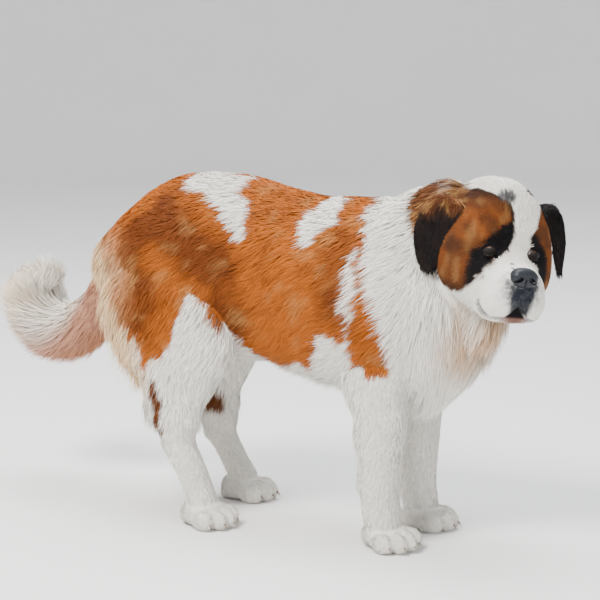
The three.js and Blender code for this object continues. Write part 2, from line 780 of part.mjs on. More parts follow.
function buildHead() {
  let head = fused([skullBody(0), ...[-1, 1].flatMap((hand) => [lidBody(hand, 0.78), lidBody(hand, -0.72)])]);
  for (const hand of [-1, 1]) {
    head = head.subtract(eyeBody(hand, meetGap)).subtract(lipLine(hand));
  }
  head = head.subtract(lipCleft()).subtract(jawBody(meetGap)).subtract(noseBody(meetGap));
  addNode(headGroup, 'head', head, fur(coatWhite));
  addNode(headGroup, 'lower_jaw', jawBody(0), fur(coatWhite));
  const nose = noseBody(0).subtract(nostrilBody(-1)).subtract(nostrilBody(1));
  addNode(headGroup, 'nose_pad', nose, moistSkin(0x1d1b1c));
  const trunk = neckBody(earGap).add(torsoBody(earGap));
  const trunkInHead = carried(trunk, headMatrix.clone().invert());
  for (const [hand, name] of [[1, 'left'], [-1, 'right']]) {
    const ear = earBody(hand).subtract(skullBody(earGap)).subtract(trunkInHead);
    const evened = largestOf(ear).simplify(earLooseness);
    addNode(headGroup, `ear_${name}`, evened, fur(coatDark));
    addNode(headGroup, `eye_${name}`, eyeBody(hand, 0), moistSkin(0x2a1a10));
  }
}

function pawMatrix(leg) {
  const turn = new THREE.Matrix4().makeRotationZ(leg.toeOut);
  return turn.setPosition(leg.x, leg.y, 0);
}

function splitLevel(solid, height) {
  const upper = solid.trimByPlane([0, 0, 1], height + meetGap / 2);
  const lower = solid.trimByPlane([0, 0, -1], -height + meetGap / 2);
  return [upper, lower];
}

function buildPaw(group, leg, name) {
  let paw = pawBody();
  toePlaces().forEach((toe, i) => {
    paw = paw.subtract(clawBody(toe, meetGap));
    addNode(group, `claw_${name}_${i + 1}`, clawBody(toe, 0), moistSkin(0x3a322c));
  });
  addNode(group, `paw_${name}`, paw, fur(coatWhite));
}

function buildLeg(name, whole, kneeHeight, ankleHeight, partNames) {
  const leg = legPlaces[name];
  const group = new THREE.Group();
  group.position.set(leg.x, leg.y, 0);
  group.rotation.z = leg.toeOut;
  dog.add(group);
  const clear = whole.subtract(torsoBody(meetGap));
  const [upper, rest] = splitLevel(clear, kneeHeight);
  const [lower] = splitLevel(rest, ankleHeight);
  const pawClear = carried(pawBody(), pawMatrix(leg).scale(new THREE.Vector3(1.006, 1.006, 1.008)));
  addNode(dog, `${partNames[0]}_${name}`, upper, fur(coatWhite));
  addNode(dog, `${partNames[1]}_${name}`, lower.subtract(pawClear), fur(coatWhite));
  buildPaw(group, leg, name);
}

function buildTail() {
  const clearOf = fused([
    torsoBody(meetGap),
    hindlegBody(legPlaces.hind_right, hocks.hind_right, meetGap),
    hindlegBody(legPlaces.hind_left, hocks.hind_left, meetGap),
  ]);
  const tail = tailBody(0).subtract(clearOf);
  const cutAt = tailRoute.getPointAt(tailSplit);
  const along = tailRoute.getTangentAt(tailSplit);
  const offset = cutAt.dot(along);
  const plume = tail.trimByPlane(along.toArray(), offset + meetGap / 2);
  const base = tail.trimByPlane(along.clone().negate().toArray(), -offset + meetGap / 2);
  addNode(dog, 'tail_base', base, fur(coatRust));
  addNode(dog, 'tail_plume', plume, fur(coatCream));
}

buildTrunk();
buildHead();
for (const name of ['fore_right', 'fore_left']) {
  buildLeg(name, forelegBody(legPlaces[name]), foreElbowHeight, foreWristHeight, ['upper_arm', 'forearm']);
}
for (const name of ['hind_right', 'hind_left']) {
  const whole = hindlegBody(legPlaces[name], hocks[name]);
  buildLeg(name, whole, hindKneeHeight, hindAnkleHeight, ['thigh', 'shank']);
}
buildTail();

// The whole model stands with the middle of its footprint box at the origin.
const footprint = new THREE.Box3().setFromObject(dog, true);
const saintBernard = new THREE.Group();
dog.position.x = -(footprint.min.x + footprint.max.x) / 2;
dog.position.y = -(footprint.min.y + footprint.max.y) / 2;
saintBernard.add(dog);

export default saintBernard;
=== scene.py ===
import math
from itertools import product
import bpy
import numpy as np
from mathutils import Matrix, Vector


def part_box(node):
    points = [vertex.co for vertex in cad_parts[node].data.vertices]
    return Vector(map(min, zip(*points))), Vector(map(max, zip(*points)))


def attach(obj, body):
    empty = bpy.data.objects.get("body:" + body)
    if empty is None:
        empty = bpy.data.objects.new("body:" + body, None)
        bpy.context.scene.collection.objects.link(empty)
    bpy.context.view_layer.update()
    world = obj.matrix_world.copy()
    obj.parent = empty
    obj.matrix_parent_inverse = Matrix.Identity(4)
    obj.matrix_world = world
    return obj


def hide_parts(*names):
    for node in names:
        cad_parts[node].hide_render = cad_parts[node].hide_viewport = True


# A standing saint bernard. Shapes are worked out in the dog's own axes in millimetres
# (x to its front, y to its left, z up) and carried into the frame, in metres, at the end.

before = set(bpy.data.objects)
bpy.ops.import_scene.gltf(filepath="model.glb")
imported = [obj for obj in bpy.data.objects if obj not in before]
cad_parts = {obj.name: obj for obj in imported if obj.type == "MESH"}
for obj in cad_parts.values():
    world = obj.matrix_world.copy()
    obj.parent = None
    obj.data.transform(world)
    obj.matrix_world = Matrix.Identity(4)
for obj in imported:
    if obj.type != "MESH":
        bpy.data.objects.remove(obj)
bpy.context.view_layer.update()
print("frame loaded")

mm = 0.001
degree = math.pi / 180


def unit(vectors):
    return vectors / (np.linalg.norm(vectors, axis=-1, keepdims=True) + 1e-12)


def ease(low, high, values):
    t = np.clip((values - low) / (high - low), 0, 1)
    return t * t * (3 - 2 * t)


def smoothRead(table, t):  # reads every column of a table at places from 0 to 1
    last = len(table) - 1
    place = np.clip(np.asarray(t, float) * last, 0, last - 1e-9)
    i = place.astype(int)
    f = (place - i)[..., None]
    p0, p1 = table[np.maximum(i - 1, 0)], table[i]
    p2, p3 = table[i + 1], table[np.minimum(i + 2, last)]
    bend = 2 * p0 - 5 * p1 + 4 * p2 - p3
    twist = 3 * p1 - p0 - 3 * p2 + p3
    return p1 + 0.5 * f * (p2 - p0 + f * (bend + f * twist))


def lattice(ix, iy, iz, seed):  # repeatable values from 0 to 1 on whole-number places
    word = 0xFFFFFFFF
    h = (ix * 374761393 + iy * 668265263 + iz * 1274126177 + seed * 974711) & word
    h = ((h ^ (h >> 13)) * 1103515245) & word
    h = ((h ^ (h >> 16)) * 2246822519) & word
    return (h ^ (h >> 15)).astype(float) / 2.0 ** 32


def patchy(points, size, seed):  # smooth noise, 0 to 1, with patches of that size
    q = points / size
    i = np.floor(q).astype(np.int64)
    f = q - i
    f = f * f * (3 - 2 * f)
    ends = (1 - f, f)
    total = np.zeros(len(points))
    for dx, dy, dz in product((0, 1), repeat=3):
        share = ends[dx][:, 0] * ends[dy][:, 1] * ends[dz][:, 2]
        total += share * lattice(i[:, 0] + dx, i[:, 1] + dy, i[:, 2] + dz, seed)
    return total


def patchyVector(points, size, seed):
    return np.stack([patchy(points, size, seed + k * 31) for k in range(3)], -1) * 2 - 1


def circle(count):  # even angles round a full turn
    return np.arange(count) * 2 * math.pi / count


def globe(around, high):  # angles from one end, and directions all over a ball
    p, a = np.meshgrid(np.linspace(0, math.pi, high + 1)[1:-1], circle(around), indexing="ij")
    return p, np.stack([np.cos(p), np.sin(p) * np.cos(a), np.sin(p) * np.sin(a)], -1)


def gridQuads(count, around):  # the faces between rings of points
    i, k = np.meshgrid(np.arange(count - 1), np.arange(around), indexing="ij")
    a, b = i * around + k, i * around + (k + 1) % around
    return np.stack([a, b, b + around, a + around], -1).reshape(-1, 4).tolist()


def closedTube(rings):  # points[ring, around] to a closed mesh with a middle point at each end
    count, around = rings.shape[:2]
    points = np.vstack([rings.reshape(-1, 3), rings[0].mean(0), rings[-1].mean(0)])
    k = np.arange(around)
    following = (k + 1) % around
    last = (count - 1) * around
    start, end = len(points) - 2, len(points) - 1
    caps = np.stack([np.full(around, start), following, k], -1).tolist()
    caps += np.stack([np.full(around, end), last + k, last + following], -1).tolist()
    return points, gridQuads(count, around) + caps


bodyAxes = {"along": (1, 0, 0), "side": (0, 1, 0), "up": (0, 0, 1)}
legAxes = {"along": (0, 0, -1), "side": (0, 1, 0), "up": (1, 0, 0)}


def tiltedAxes(direction):
    along = unit(np.array(direction, float))
    side = unit(np.cross((0, 0, 1), along))
    return {"along": along, "side": side, "up": np.cross(along, side)}


class Form:  # a rounded body through stations: x, y, z, side, up, down, taper, corner
    thinnest = 1.5

    def __init__(self, stations, axes, square=2.0, bumps=(), turn=np.eye(3), place=(0, 0, 0)):
        rows = [list(s) + [0.0, square][len(s) - 6:] for s in stations]
        self.table = np.array(rows, float)
        self.axes = {k: np.array(v, float) for k, v in axes.items()}
        self.bumps = bumps
        self.turn = np.array(turn, float)
        self.place = np.array(place, float)
        self.steps = np.linspace(0, 1, 241)
        self.reach = smoothRead(self.table, self.steps)[:, :3] @ self.axes["along"]

    def surface(self, t, angle, grow=0.0):
        t, angle = np.broadcast_arrays(np.asarray(t, float), np.asarray(angle, float))
        row = smoothRead(self.table, t)
        side, up, down, taper, corner = np.moveaxis(row[..., 3:], -1, 0)
        c, s = np.cos(angle), np.sin(angle)
        ring = (np.abs(c) ** corner + np.abs(s) ** corner) ** (-1 / corner)
        narrow = 1 - taper * np.maximum(s, 0) ** 1.5
        wide = np.maximum(side * narrow + grow, self.thinnest)
        high = np.maximum(np.where(s > 0, up, down) + grow, self.thinnest)
        point = row[..., :3] + (grow * (2 * t - 1))[..., None] * self.axes["along"]
        point = point + (wide * c * ring)[..., None] * self.axes["side"]
        point = point + (high * s * ring)[..., None] * self.axes["up"]
        outward = c[..., None] * self.axes["side"] + s[..., None] * self.axes["up"]
        for at, reach, push in self.bumps:
            away = ((point - np.array(at, float)) ** 2).sum(-1) / reach ** 2
            point = point + outward * (push * np.exp(-away))[..., None]
        return point @ self.turn.T + self.place

    def shell(self, rings, around, grow=0.0):
        t, angle = np.meshgrid(np.linspace(0, 1, rings + 1), circle(around), indexing="ij")
        return closedTube(self.surface(t, angle, grow))

    def locate(self, points):  # how far outside the form, and t and angle on it
        local = (points - self.place) @ self.turn
        q = local @ self.axes["along"]
        t = np.interp(q, self.reach, self.steps)
        beyond = np.maximum(self.reach[0] - q, 0) + np.maximum(q - self.reach[-1], 0)
        row = smoothRead(self.table, t)
        off = local - row[:, :3]
        side, up, down, taper, corner = row[:, 3:].T
        a, b = off @ self.axes["side"], off @ self.axes["up"]
        high = np.where(b > 0, up, down)
        wide = side * (1 - taper * np.clip(b / high, 0, 1) ** 1.5)
        ratio = ((np.abs(a) / wide) ** corner + (np.abs(b) / high) ** corner) ** (1 / corner)
        gap = np.hypot(a, b) * (1 - 1 / np.maximum(ratio, 0.05)) + beyond
        return gap, t, np.arctan2(b / high, a / wide)


def ball(place, radii, turn, origin, around=28, high=20):
    rings = globe(around, high)[1] * np.array(radii, float) + np.array(place, float)
    return closedTube(rings @ turn.T + np.array(origin, float))


headShape = {
    "place": (234, -31, 651), "yaw": -45, "nod": 5, "lean": -7,
    "eye": (76, 46, 0), "eyeRadius": 14.0,
    "nose": (163, -30), "noseWidth": 29, "noseHeight": 20, "noseDepth": 18,
    "earRoot": (-38, 104, 74), "earLength": 158, "earThickness": 9,
}


def turning(yaw, nod, lean):
    cz, sz = math.cos(yaw * degree), math.sin(yaw * degree)
    cy, sy = math.cos(nod * degree), math.sin(nod * degree)
    cx, sx = math.cos(lean * degree), math.sin(lean * degree)
    rz = np.array([[cz, -sz, 0], [sz, cz, 0], [0, 0, 1]])
    ry = np.array([[cy, 0, sy], [0, 1, 0], [-sy, 0, cy]])
    rx = np.array([[1, 0, 0], [0, cx, -sx], [0, sx, cx]])
    return rz @ ry @ rx


headTurn = turning(headShape["yaw"], headShape["nod"], headShape["lean"])
headPlace = np.array(headShape["place"], float)


def toHead(points):
    return (points - headPlace) @ headTurn


def fromHead(points):
    return np.asarray(points, float) @ headTurn.T + headPlace


coatDepth = {  # how far the solids' locks stand over the flesh that is built here
    "elbow": 10, "elbowAbove": 160, "breeches": 34, "breechesFrom": 250, "breechesOver": 90,
}
torsoStations = [
    (-768, 0, 566, 46, 26, 44, 0), (-738, 0, 566, 92, 70, 88, 0), (-690, 0, 566, 126, 110, 128, 0),
    (-630, 0, 570, 146, 152, 162, 0.02), (-555, 0, 574, 158, 188, 190, 0.05),
    (-460, 0, 574, 160, 201, 206, 0.08), (-365, 0, 566, 156, 203, 210, 0.1),
    (-280, 0, 556, 160, 193, 204, 0.1), (-190, 0, 548, 170, 189, 210, 0.12),
    (-100, 0, 542, 178, 196, 216, 0.18), (-20, 0, 540, 178, 201, 222, 0.26),
    (55, 0, 538, 162, 184, 228, 0.34), (120, 0, 530, 138, 136, 210, 0.36),
    (176, 0, 518, 106, 92, 152, 0.3), (216, 0, 508, 62, 50, 88, 0.2),
]
torsoBumps = []
for hand in (-1, 1):
    torsoBumps += [((20, 165 * hand, 500), 95, 12), ((-190, 170 * hand, 620), 80, 5),
                   ((-330, 160 * hand, 470), 85, -13), ((-560, 155 * hand, 600), 100, 10)]
neckStations = [
    (-30, 0, 590, 134, 140, 110), (20, 0, 606, 138, 148, 148), (78, 0, 622, 114, 154, 185),
    (134, -6, 630, 102, 157, 200), (184, -16, 626, 96, 146, 188), (226, -24, 612, 76, 98, 148),
    (254, -28, 594, 42, 46, 84),
]
skullStations = [
    (-126, 0, 26, 34, 34, 40, 0, 2.1), (-108, 0, 18, 78, 80, 82, 0.05, 2.1),
    (-74, 0, 8, 106, 118, 106, 0.12, 2.2), (-36, 0, -2, 117, 136, 118, 0.2, 2.3),
    (2, 0, -10, 119, 138, 120, 0.26, 2.3), (34, 0, -22, 108, 127, 112, 0.26, 2.3),
    (58, 0, -34, 90, 99, 100, 0.18, 2.4), (80, 0, -52, 76, 66, 82, 0.14, 2.6),
    (102, 0, -66, 69, 60, 68, 0.16, 2.8), (126, 0, -70, 66, 59, 63, 0.18, 2.9),
    (147, 0, -69, 60, 57, 58, 0.18, 2.8), (162, 0, -67, 52, 53, 50, 0.15, 2.6),
    (171, 0, -67, 38, 44, 38, 0.1, 2.4), (176, 0, -67, 14, 20, 15, 0, 2.2),
]
skullBumps = [((82, 0, 26), 18, -8)]
for hand in (-1, 1):
    skullBumps += [((68, 40 * hand, 34), 24, 10), ((82, 50 * hand, -2), 20, -5),
                   ((20, 104 * hand, -70), 46, 10), ((112, 58 * hand, -112), 32, 9),
                   ((90, 70 * hand, -44), 22, -6)]
jawStations = [
    (20, 0, -102, 26, 12, 22), (60, 0, -108, 34, 14, 25), (105, 0, -111, 34, 14, 25),
    (136, 0, -110, 29, 13, 23), (153, 0, -107, 19, 9, 15),
]
legPlaces = {  # x, y and how far the toes turn out
    "fore_right": (22, -99, -24), "fore_left": (14, 92, 4),
    "hind_right": (-412, -134, -14), "hind_left": (-462, 116, 8),
}
hocks = {"hind_right": (-484, 176), "hind_left": (-532, 150)}
toeRadii = (31, 17, 25)


def forelegStations(name):
    x, y, _ = legPlaces[name]
    hand = math.copysign(1, y)
    rows = [(10, 24, 450, 50, 84, 88), (-6, 14, 395, 62, 80, 92), (-10, 6, 340, 63, 72, 84),
            (-2, 2, 290, 58, 66, 70), (0, 0, 235, 53, 60, 62), (0, 0, 180, 50, 53, 55),
            (0, 0, 135, 51, 50, 51), (4, 0, 95, 48, 45, 46), (10, 0, 55, 48, 44, 44),
            (14, 0, 22, 42, 40, 38)]
    standing = x - legPlaces["fore_right"][0]
    return [(standing + dx, y - dy * hand, z, side, up,
             back - (coatDepth["elbow"] if z > coatDepth["elbowAbove"] else 0))
            for dx, dy, z, side, up, back in rows]


def hindlegStations(name):
    x, y, _ = legPlaces[name]
    hockX, hockZ = hocks[name]
    hand = math.copysign(1, y)
    rows = [(-600, 80 * hand, 622, 30, 60, 50), (-585, 94 * hand, 572, 62, 132, 104),
            (-560, 103 * hand, 510, 76, 184, 150), (hockX - 38, 105 * hand, 440, 76, 168, 168),
            (hockX - 20, 109 * hand, 380, 70, 150, 146),
            (hockX - 10, 114 * hand, 320, 60, 102, 110),
            (hockX - 10, 119 * hand, 262, 50, 68, 80), (hockX, y, hockZ + 30, 43, 50, 46),
            (hockX + 2, y, hockZ, 42, 44, 42),
            (hockX * 0.5 + x * 0.5, y, hockZ * 0.62, 43, 37, 36),
            (x - 14, y, 58, 45, 39, 36), (x - 4, y, 22, 41, 37, 33)]
    locks = [coatDepth["breeches"] * min(max(
        (row[2] - coatDepth["breechesFrom"]) / coatDepth["breechesOver"], 0), 1) for row in rows]
    return [(*row[:5], row[5] - lock) for row, lock in zip(rows, locks)]


pawStations = [
    (-56, 0, 20, 22, 18, 20), (-46, 0, 26, 38, 32, 28), (-17, 0, 30, 48.6, 34, 32),
    (17, 0, 26, 50.8, 30, 28), (39, 0, 22, 43.2, 22, 24), (50, 0, 20, 32.4, 12, 16),
]
toes = [(28, -40.5), (45, -14), (45, 14), (28, 40.5)]

forms = {
    "torso": Form(torsoStations, bodyAxes, 2.15, torsoBumps),
    "neck": Form(neckStations, tiltedAxes((0.97, -0.12, 0.12)), 2.1),
    "head": Form(skullStations, bodyAxes, 2.0, skullBumps, headTurn, headPlace),
    "jaw": Form(jawStations, bodyAxes, 2.0, (), headTurn, headPlace),
}
for name in legPlaces:
    rows = forelegStations(name) if name.startswith("fore") else hindlegStations(name)
    forms["leg_" + name] = Form(rows, legAxes, 2.1)
    x, y, out = legPlaces[name]
    forms["paw_" + name] = Form(pawStations, bodyAxes, 2.2, (), turning(out, 0, 0), (x, y, 0))

tailPoints = np.array([
    (-704, 4, 596), (-756, 22, 532), (-800, 38, 452), (-858, 44, 396),
    (-926, 42, 378), (-982, 38, 402), (-1000, 32, 446), (-976, 28, 486)], float)
plumeReach = np.array([32, 46, 62, 74, 80, 80, 70, 34], float)[:, None]
plumeCore = 0.5  # how much of the plume is flesh
tailFrom = -620  # the tail lies behind this x
tailSteps = np.linspace(0, 1, 161)
tailLine = smoothRead(tailPoints, tailSteps)
tailAlong = unit(np.gradient(tailLine, axis=0))
tailSide = np.tile(np.array([0.0, 1, 0]), (len(tailSteps), 1))
tailUp = unit(np.cross(tailAlong, tailSide))


def tailShell(share, around=28):
    angle = circle(around)
    reach = smoothRead(plumeReach, tailSteps)[:, :1] * share
    rings = (tailLine[:, None] + reach[:, None] * (
        np.cos(angle)[None, :, None] * tailSide[:, None]
        + np.sin(angle)[None, :, None] * tailUp[:, None]))
    return closedTube(rings[::4])


def locateOnTail(points):
    gap = np.full(len(points), 1e3)
    t, angle = np.zeros(len(points)), np.zeros(len(points))
    near = np.nonzero(points[:, 0] < tailFrom)[0]
    if len(near):
        away = ((points[near][:, None] - tailLine[None]) ** 2).sum(-1)
        best = away.argmin(1)
        off = points[near] - tailLine[best]
        reach = smoothRead(plumeReach, tailSteps[best])[:, 0] * plumeCore
        gap[near] = np.sqrt(away[np.arange(len(near)), best]) - reach
        t[near] = tailSteps[best]
        angle[near] = np.arctan2((off * tailUp[best]).sum(-1), (off * tailSide[best]).sum(-1))
    return gap, t, angle


skinSettings = {
    "voxel": 3.3,            # size of the skin's mesh
    "inset": {"torso": -12, "neck": -15, "head": -3, "jaw": -3, "leg_fore": -6, "leg_hind": -8,
              "paw": -2.5},
    "smoothing": 14, "faceKeeps": 0.86, "pawsKeep": 0.8,  # rounds, and how much these keep out
    "foldSize": 60, "foldDepth": 5, "partBlend": 16, "overFloor": 1.5,
}


def insetOf(name):
    for key, value in skinSettings["inset"].items():
        if name.startswith(key):
            return value
    return 0


def mergedShells(shells):
    points, faces, base = [], [], 0
    for p, f in shells:
        points.append(p)
        faces += [[v + base for v in face] for face in f]
        base += len(p)
    return np.vstack(points), faces


def newMesh(name, points, faces):
    mesh = bpy.data.meshes.new(name)
    mesh.from_pydata(np.asarray(points).tolist(), [], faces)
    mesh.polygons.foreach_set("use_smooth", np.ones(len(faces), bool))
    mesh.update()
    return mesh


def newPiece(name, mesh, material=None):
    piece = bpy.data.objects.new(name, mesh)
    bpy.context.scene.collection.objects.link(piece)
    if material:
        mesh.materials.append(material)
    return piece


def rawSkin():
    shells = []
    for name, form in forms.items():
        fine = (96, 72) if name in ("torso", "head") else (56, 48)
        shells.append(form.shell(*fine, insetOf(name)))
    for name, (x, y, out) in legPlaces.items():
        turn = turning(out, 0, 0)
        radii = np.array(toeRadii) + skinSettings["inset"]["paw"]
        for toeX, toeY in toes:
            shells.append(ball((toeX, toeY, toeRadii[2] - 3), radii, turn, (x, y, 0)))
    shells.append(tailShell(plumeCore))
    points, faces = mergedShells(shells)
    rough = newPiece("rough", newMesh("rough", points, faces))
    remesh = rough.modifiers.new("even", "REMESH")
    remesh.mode = "VOXEL"
    remesh.voxel_size = skinSettings["voxel"]
    remesh.adaptivity = 0
    graph = bpy.context.evaluated_depsgraph_get()
    even = rough.evaluated_get(graph).to_mesh()
    points = np.zeros(len(even.vertices) * 3)
    even.vertices.foreach_get("co", points)
    loops = np.zeros(len(even.loops), np.int64)
    even.loops.foreach_get("vertex_index", loops)
    rough.evaluated_get(graph).to_mesh_clear()
    bpy.data.objects.remove(rough)
    return points.reshape(-1, 3), loops.reshape(-1, 4)


def vertexNormals(points, quads):
    a, b, c, d = (points[quads[:, k]] for k in range(4))
    face = np.cross(c - a, d - b)
    normals = np.zeros_like(points)
    for k in range(4):
        for axis in range(3):
            normals[:, axis] += np.bincount(quads[:, k], face[:, axis], len(points))
    return unit(normals)


def smoothed(points, quads, weight, rounds, strength=0.6):
    edges = np.vstack([quads[:, [k, (k + 1) % 4]] for k in range(4)])
    size = len(points)
    count = np.bincount(edges[:, 0], minlength=size) + np.bincount(edges[:, 1], minlength=size)
    for _ in range(rounds):
        total = np.zeros_like(points)
        for axis in range(3):
            total[:, axis] = (np.bincount(edges[:, 0], points[edges[:, 1], axis], size)
                              + np.bincount(edges[:, 1], points[edges[:, 0], axis], size))
        points = points + (total / count[:, None] - points) * weight[:, None] * strength
    return points


class Places:  # where each point lies on the body
    def __init__(self, points):
        self.gap, self.t, self.angle = {}, {}, {}
        for name, form in forms.items():
            self.gap[name], self.t[name], self.angle[name] = form.locate(points)
            self.gap[name] = self.gap[name] - insetOf(name)
        self.gap["tail"], self.t["tail"], self.angle["tail"] = locateOnTail(points)
        self.names = list(self.gap)
        gaps = np.stack([self.gap[n] for n in self.names], -1)
        self.nearest = gaps.argmin(-1)
        further = np.clip(gaps - gaps.min(-1, keepdims=True), 0, 200)
        soft = np.exp(-further / skinSettings["partBlend"])
        self.weight = dict(zip(self.names, (soft / soft.sum(-1, keepdims=True)).T))
        self.head = toHead(points)

    def share(self, start):
        return sum(w for n, w in self.weight.items() if n.startswith(start))


lipRoute = [(118, -71, -92), (126, -67, -104), (138, -50, -124), (160, -22, -116), (175, 0, -88),
            (160, 22, -116), (138, 50, -124), (126, 67, -104), (118, 71, -92)]
faceFolds = {  # place, reach and push of each dome, and depth, width and route of each crease
    "byEye": [((10, 6, 0), 15, -5.5), ((6, 4, 25), 15, 3.5),  # socket and brow
              ((10, 10, -22), 11, 2.6), ((6, -26, 6), 12, -3.0)],  # pouch and inner corner
    "whiskerBeds": [((132, 52, -84), 20, 4.5), ((146, 30, -96), 15, 3.5)],
    "creases": [
        (3.2, 7, [(40, 0, 92), (70, 0, 40), (96, 0, 2)]),
        (2.6, 6, [(84, 76, -14), (100, 74, -52), (96, 76, -92)]),
        (2.0, 5, [(44, 44, 66), (62, 22, 60), (70, 6, 54)]),
        (4.0, 3.4, [(180, 0, -44), (177, 0, -86)]),
        (5.0, 4.2, lipRoute)],
}
cleft = {  # where the flews part over the chin, in the head's axes
    "top": -84, "slope": 0.78, "from": 130, "to": 150, "chin": 151,
}


def toRoute(points, route):  # distance from each point to a line through places
    best = np.full(len(points), 1e3)
    route = np.array(route, float)
    for a, b in zip(route[:-1], route[1:]):
        t = np.clip(((points - a) @ (b - a)) / ((b - a) @ (b - a)), 0, 1)
        best = np.minimum(best, np.linalg.norm(points - a - t[:, None] * (b - a), axis=1))
    return best


def faceRelief(head):  # how far the face's folds push the skin out, in millimetres
    push = np.zeros(len(head))
    hand = np.sign(head[:, 1])
    mirrored = head * np.stack([np.ones(len(head)), hand, np.ones(len(head))], -1)
    eye = np.array(headShape["eye"], float)
    domes = [(eye + at, reach, amount) for at, reach, amount in faceFolds["byEye"]]
    for at, reach, amount in domes + faceFolds["whiskerBeds"]:
        away = ((mirrored - np.array(at, float)) ** 2).sum(-1) / reach ** 2
        push += amount * np.exp(-away)
    for depth, width, route in faceFolds["creases"]:
        push -= depth * np.exp(-(toRoute(mirrored, route) / width) ** 2)
    return push


def cleftDepth(head):  # the opening between the flews, where the chin shows
    below = cleft["top"] - head[:, 2]
    inside = ease(-3, 5, below * cleft["slope"] - np.abs(head[:, 1]))
    return inside * ease(cleft["from"], cleft["to"], head[:, 0]) * ease(0, 8, below)


def shapedSkin():
    points, quads = rawSkin()
    places = Places(points)
    onFace = places.share("head") + places.share("jaw")
    onPaw = places.share("paw")
    calm = 1 - skinSettings["faceKeeps"] * onFace - skinSettings["pawsKeep"] * onPaw
    calm = np.clip(calm, 0.05, 1)
    points = smoothed(points, quads, calm, skinSettings["smoothing"])
    normals = vertexNormals(points, quads)
    if ((points - points.mean(0)) * normals).sum() < 0:  # the faces look inward
        quads, normals = quads[:, ::-1], -normals
    points = points + normals * (faceRelief(toHead(points)) * onFace)[:, None]
    head = toHead(points)
    back = cleftDepth(head) * onFace * np.clip(head[:, 0] - cleft["chin"], 0, 40)
    points = points - (headTurn[:, 0] * back[:, None])
    folds = (patchy(points, skinSettings["foldSize"], 5) - 0.5) * skinSettings["foldDepth"]
    points = points + normals * (folds * (1 - onFace) * (1 - onPaw))[:, None]
    points[:, 2] = np.maximum(points[:, 2], skinSettings["overFloor"])
    points = smoothed(points, quads, np.full(len(points), 0.5), 1)
    print("skin", len(points), "points")
    return points, quads


skinPoints, skinQuads = shapedSkin()
skinNormals = vertexNormals(skinPoints, skinQuads)
skinPlaces = Places(skinPoints)

earFall = np.array([  # each folded flap from its root: out, drop, back, width, cup, stand
    (-12, 8, 6, 34, 14, 0.1), (12, -4, 0, 46, 15, 0.3), (32, 18, -4, 52, 12, 0.5),
    (46, 62, -8, 50, 9, 0.55), (50, 104, -10, 38, 7, 0.55), (50, 138, -10, 18, 4, 0.5)], float)
earSides = {  # how far each ear stands off, swings forward, and its width and length
    -1: {"stand": 1.2, "forward": 18, "width": 0.82, "length": 0.88},
    1: {"stand": 1, "forward": 0, "width": 1, "length": 0.80},
}


def earMiddle(hand, t, f):
    own = earSides[hand]
    out, drop, back, width, cup, stand = np.moveaxis(smoothRead(earFall, t), -1, 0)
    stand, width = stand * own["stand"], width * own["width"]
    plumb = hand * math.tan(-headShape["lean"] * degree)
    fallen = drop / 138 * headShape["earLength"] * own["length"]
    rootX, rootY, rootZ = headShape["earRoot"]
    x = rootX + back + own["forward"] * np.minimum(2 * t, 1) + width * f * (1 - 0.3 * stand)
    y = rootY + out + plumb * fallen - cup * f * f - stand * width * f
    z = rootZ - fallen + 6 * (1 - f * f) * (1 - t)
    return np.stack([x, y * hand, z], -1)


def earShell(hand, steps=44, across=25):
    t, f = np.meshgrid(np.linspace(0, 1, steps + 1), np.linspace(-1, 1, across), indexing="ij")
    edge = np.sqrt(np.maximum(1 - f * f, 0))
    half = (headShape["earThickness"] - 3) * (1 - 0.45 * t) * (0.25 + 0.75 * edge)
    small = 0.01
    below, above = np.minimum(t + small, 1), np.maximum(t - small, 0)
    down = earMiddle(hand, below, f) - earMiddle(hand, above, f)
    wide = earMiddle(hand, t, f + small) - earMiddle(hand, t, f - small)
    outward = unit(np.cross(wide, down)) * hand
    middle = earMiddle(hand, t, f)
    middle = middle + outward * (1.8 * np.sin(6 * t + 2.4 * f) * edge)[..., None]
    rings = np.concatenate([middle + outward * half[..., None],
                            (middle - outward * half[..., None])[:, ::-1]], axis=1)
    points, faces = closedTube(rings)
    return fromHead(points), faces, rings.shape[1]


# Markings are worked out for any point, so the skin and the coat share them.

markColours = {
    "white": (0.87, 0.845, 0.79), "cream": (0.80, 0.56, 0.31), "rust": (0.42, 0.105, 0.010),
    "umber": (0.115, 0.027, 0.005), "chestnut": (0.125, 0.040, 0.012),
    "sable": (0.016, 0.009, 0.007), "black": (0.006, 0.005, 0.006),
    "grey": (0.017, 0.020, 0.029), "blond": (0.58, 0.30, 0.10), "pink": (0.30, 0.15, 0.11),
}
mantleRight = [
    (-30, 830), (-34, 706), (-20, 652), (-27, 626), (-24, 578), (-24, 569), (-10, 506), (-34, 457),
    (-91, 462), (-127, 375), (-172, 391), (-241, 367), (-292, 383), (-315, 435), (-365, 452),
    (-388, 471), (-423, 518), (-437, 536), (-446, 480), (-459, 441), (-481, 391), (-523, 377),
    (-554, 322), (-536, 366), (-551, 414), (-587, 460), (-626, 523), (-672, 595), (-700, 640),
    (-720, 700), (-660, 830)]
pendantRight = [
    (-60, 720), (-24, 690), (-8, 650), (18, 598), (56, 511), (58, 445), (40, 380), (-6, 380),
    (-20, 441), (-14, 490), (2, 530), (4, 570), (-2, 600), (-16, 632), (-44, 660)]
croupRight = [
    (-520, 830), (-470, 738), (-413, 724), (-381, 698), (-349, 664), (-306, 640), (-288, 650),
    (-316, 710), (-352, 763), (-390, 830)]
saddleSpotRight = [
    (-142, 734), (-96, 722), (-90, 678), (-121, 670), (-133, 642), (-161, 650), (-174, 686),
    (-154, 712)]
